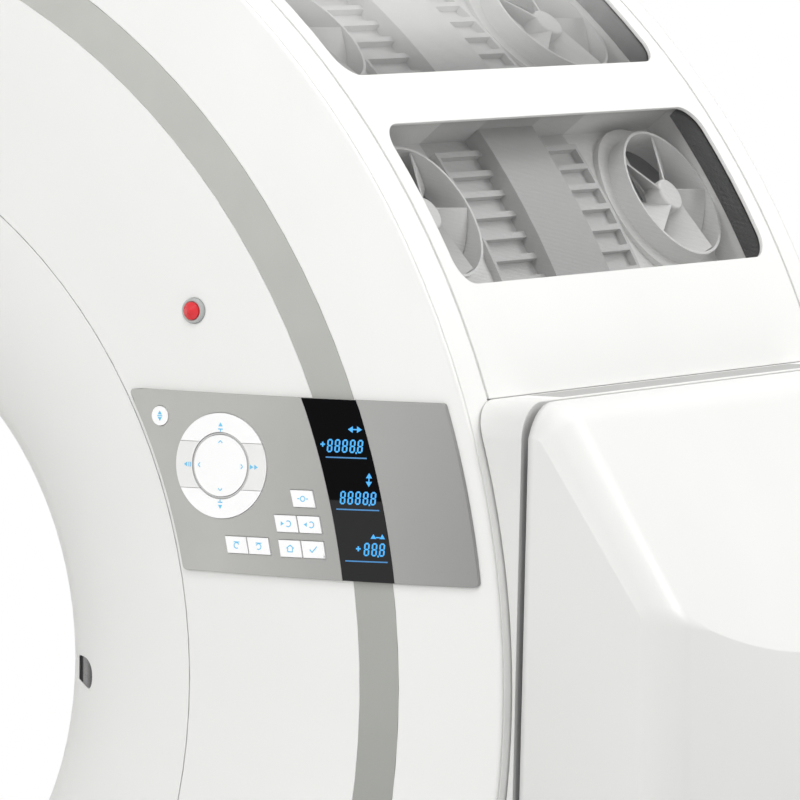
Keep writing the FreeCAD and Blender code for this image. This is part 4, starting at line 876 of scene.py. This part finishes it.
def eights(text, x, z):
    """A row of eights and points from the lower left corner (x, z)."""
    shapes = segment_shapes()
    made = []
    for letter in text:
        if letter == ".":
            left, right, low, high = x + POINT_LEFT, x + POINT_RIGHT, z + POINT_LOW, z + POINT_HIGH
            made.append([(left, low), (right, low), (right, high), (left, high)])
            continue
        made += [[(x + px + pz * DIGIT_LEAN, z + pz) for px, pz in shape] for shape in shapes]
        x += DIGIT_PITCH
    return made


READOUT_ROWS = (("8888.8", 744.4, 238.2), ("8888.8", 760.0, 185.9), ("88.8", 786.9, 134.2))
PLUS_SIGNS, PLUS_HALF, PLUS_WIDTH = ((739.1, 245.4), (780.4, 140.6)), 2.5, 1.6
ARROW_HEADS = ((768.6, 261.2, 4.4, 180), (778.4, 261.2, 4.4, 0), (790.2, 215.0, 4.4, 90),
               (790.2, 206.2, 4.4, -90), (796.4, 153.6, 4.0, 90), (805.8, 153.6, 4.0, 90))
ARROW_STEMS = ((770.5, 261.2, 776.5, 261.2), (790.2, 208.0, 790.2, 213.0),
               (799.0, 152.6, 803.2, 152.6))
STEM_WIDTH = 1.2
LINES = ((742.8, 787.1, 232.4), (755.7, 801.9, 180.0), (766.5, 812.1, 127.8))   # x, x, height
LINE_WIDTH, LINE_STEPS = 1.3, 14

readout = []
for row in READOUT_ROWS:
    readout += eights(*row)
for x, z in PLUS_SIGNS:
    readout += bar(x - PLUS_HALF, z, x + PLUS_HALF, z, PLUS_WIDTH)
    readout += bar(x, z - PLUS_HALF, x, z + PLUS_HALF, PLUS_WIDTH)
for head in ARROW_HEADS:
    readout += triangle(*head)
for stem in ARROW_STEMS:
    readout += bar(*stem, STEM_WIDTH)
lines = []
for left, right, z in LINES:
    lines += bar(left, z, right, z, LINE_WIDTH, LINE_STEPS)

display = surface_of("display_window")
blue = lit("readout_blue", (0.045, 0.44, 0.98), 1.12)
add_piece("readout", *lay(display, (0.0, ISOCENTRE), readout), blue, "gantry", "display_glass")
line_blue = lit("line_blue", (0.04, 0.24, 0.55))
add_piece("readout_lines", *lay(display, (0.0, ISOCENTRE), lines), line_blue, "gantry",
          "display_glass")

# The marks on the keys, from each key's middle
KEY_MARKS = {
    "dial_pad": chevron(0, 24.5, 2.3, 90, FINE) + chevron(0, -24.5, 2.3, -90, FINE)
    + chevron(-25.5, 0, 2.3, 180, FINE) + chevron(25.5, 0, 2.3, 0, FINE),
    "dial_up": triangle(0, 3.2, 3.4, 90) + bar(-2.8, -1.6, 2.8, -1.6, BOLD)
    + bar(0, -1.6, 0, -4.4, BOLD),
    "dial_down": triangle(0, -3.2, 3.4, -90) + bar(-2.8, 1.6, 2.8, 1.6, BOLD)
    + bar(0, 1.6, 0, 4.4, BOLD),
    "dial_left": triangle(-2.6, 0, 3.4, 180) + bar(1.4, -2.4, 1.4, 2.4, BOLD)
    + bar(3.4, -2.4, 3.4, 2.4, BOLD),
    "dial_right": triangle(-2.4, 0, 3.4, 0) + triangle(2.8, 0, 3.4, 0),
    "round_key": triangle(0, 3.4, 3.4, 90) + triangle(0, -3.4, 3.4, -90)
    + bar(-3.0, 0, 3.0, 0, BOLD),
    "key_1": ring_marks(0, 0, 2.6, FINE, 0, 360) + bar(-6.0, 0, -3.6, 0, FINE)
    + bar(3.6, 0, 6.0, 0, FINE),
    "key_2": triangle(-4.4, 0, 3.0, 0) + ring_marks(2.2, 0, 3.0, FINE, -130, 130),
    "key_3": triangle(-4.4, 0, 3.0, 180) + ring_marks(2.2, 0, 3.0, FINE, -130, 130),
    "key_4": bar(-3.4, 3.0, 3.4, 3.0, FINE) + ring_marks(0, -0.6, 2.9, FINE, 20, 300),
    "key_5": bar(-3.4, 3.0, 3.4, 3.0, FINE) + ring_marks(0, -0.6, 2.9, FINE, -120, 160),
    "key_6": bar(-4.2, 0.4, 0, 3.6, FINE) + bar(0, 3.6, 4.2, 0.4, FINE)
    + bar(-2.8, -3.2, 2.8, -3.2, FINE) + bar(-2.8, -3.2, -2.8, 0.8, FINE)
    + bar(2.8, -3.2, 2.8, 0.8, FINE),
    "key_7": bar(-3.8, 0.2, -1.2, -2.8, BOLD) + bar(-1.2, -2.8, 4.0, 3.2, BOLD),
}
cyan = ink("key_cyan", (0.14, 0.56, 0.85))
for key, outlines in KEY_MARKS.items():
    low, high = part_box(key)
    middle = ((low.x + high.x) / 2, (low.z + high.z) / 2)
    marks = lay(surface_of(key), middle, outlines)
    add_piece(key + "_mark", *marks, cyan, key + "_body", "key_white")


# ---------------------------------------------------------------- room, light and camera

FLOOR_RADIUS, FLOOR_STEPS, FLOOR_TONE = 40.0, 96, 0.82
FLOOR_FADE = (2.0, 5.2)                  # distances over which the floor turns plain white
SKY_TONE, SKY_STRENGTH = (1.0, 1.0, 0.99), 0.42
LAMP_AIM, LAMP_AWAY, LAMP_SIZE = Vector((0.5, 0.0, 1.3)), 8.0, 4.0
LAMPS = ((-60, 50, 160.0), (-90, 20, 178.0), (0, 78, 55.0), (30, 30, 188.0), (60, 55, 193.0))
AZIMUTH, ELEVATION = math.radians(32.30), math.radians(4.32)
CAMERA_PLACE = (4.729, -6.594, 1.895)
SENSOR, FOCAL_LENGTH, PICTURE = 36.0, 7255.0, 800.0   # in mm, and two in pixels
FAR_AWAY = 200.0                         # how far the camera sees


def disc(name, radius, height, material):
    """A flat round plate."""
    turns = [2 * math.pi * k / FLOOR_STEPS for k in range(FLOOR_STEPS)]
    corners = [(radius * math.cos(turn), radius * math.sin(turn), height) for turn in turns]
    mesh = bpy.data.meshes.new(name)
    mesh.from_pydata(corners, [], [tuple(range(FLOOR_STEPS))])
    mesh.materials.append(material)
    return link_object(name, mesh)


def seen_directly(tree):
    """1 for a ray from the camera, off a mirror or through glass."""
    path = tree.nodes.new("ShaderNodeLightPath").outputs
    plain_or_mirrored = worked(tree, "MAXIMUM", path["Is Camera Ray"], path["Is Glossy Ray"])
    return worked(tree, "MAXIMUM", plain_or_mirrored, path["Is Transmission Ray"])


def mixed_shaders(tree, share, first, second, target):
    """Two shaders joined by a share of the second."""
    mix = tree.nodes.new("ShaderNodeMixShader")
    tree.links.new(share, mix.inputs["Fac"])
    tree.links.new(first, mix.inputs[1])
    tree.links.new(second, mix.inputs[2])
    tree.links.new(mix.outputs["Shader"], tree.nodes[target].inputs["Surface"])


def floor_material():
    """Pale matt floor that keeps shadows near the object and is plain white far from it."""
    made, tree, shader = start_material("floor")
    shader.inputs["Base Color"].default_value = (FLOOR_TONE, FLOOR_TONE, FLOOR_TONE, 1.0)
    shader.inputs["Roughness"].default_value = 0.9
    shader.inputs["Specular IOR Level"].default_value = 0.1
    where = tree.nodes.new("ShaderNodeTexCoord")
    far = tree.nodes.new("ShaderNodeVectorMath")
    far.operation = "LENGTH"
    tree.links.new(where.outputs["Object"], far.inputs[0])
    fade = spread(tree, far.outputs["Value"], 0.0, 1.0, *FLOOR_FADE)
    white = tree.nodes.new("ShaderNodeEmission")
    mixed_shaders(tree, worked(tree, "MULTIPLY", fade, seen_directly(tree)),
                  shader.outputs["BSDF"], white.outputs["Emission"], "Material Output")
    return made


def area_lamp(name, position, aim, size, power):
    """A round lamp that faces a point."""
    data = bpy.data.lights.new(name, "AREA")
    data.shape = "DISK"
    data.size = size
    data.energy = power
    lamp = link_object(name, data)
    lamp.location = position
    lamp.rotation_euler = (aim - position).to_track_quat("-Z", "Y").to_euler()


disc("floor", FLOOR_RADIUS, 0.0, floor_material())

world = bpy.data.worlds.new("studio")
bpy.context.scene.world = world
world.use_nodes = True
sky = world.node_tree
soft = sky.nodes["Background"]
soft.inputs["Strength"].default_value = SKY_STRENGTH
soft.inputs["Color"].default_value = (*SKY_TONE, 1.0)
plain = sky.nodes.new("ShaderNodeBackground")
plain.inputs["Color"].default_value = (1.0, 1.0, 1.0, 1.0)
mixed_shaders(sky, seen_directly(sky), soft.outputs["Background"], plain.outputs["Background"],
              "World Output")

for turn, rise, power in LAMPS:
    flat = math.cos(math.radians(rise))
    away = Vector((flat * math.cos(math.radians(turn)), flat * math.sin(math.radians(turn)),
                   math.sin(math.radians(rise))))
    area_lamp("lamp_%d" % turn, LAMP_AIM + away * LAMP_AWAY, LAMP_AIM, LAMP_SIZE, power)

camera_data = bpy.data.cameras.new("camera")
camera_data.sensor_width = SENSOR
camera_data.lens = SENSOR * FOCAL_LENGTH / PICTURE
camera_data.clip_end = FAR_AWAY
camera = link_object("camera", camera_data)
camera.location = CAMERA_PLACE
camera.rotation_euler = (math.pi / 2 - ELEVATION, 0.0, AZIMUTH)
bpy.context.scene.camera = camera
bpy.context.scene.view_settings.view_transform = "Standard"
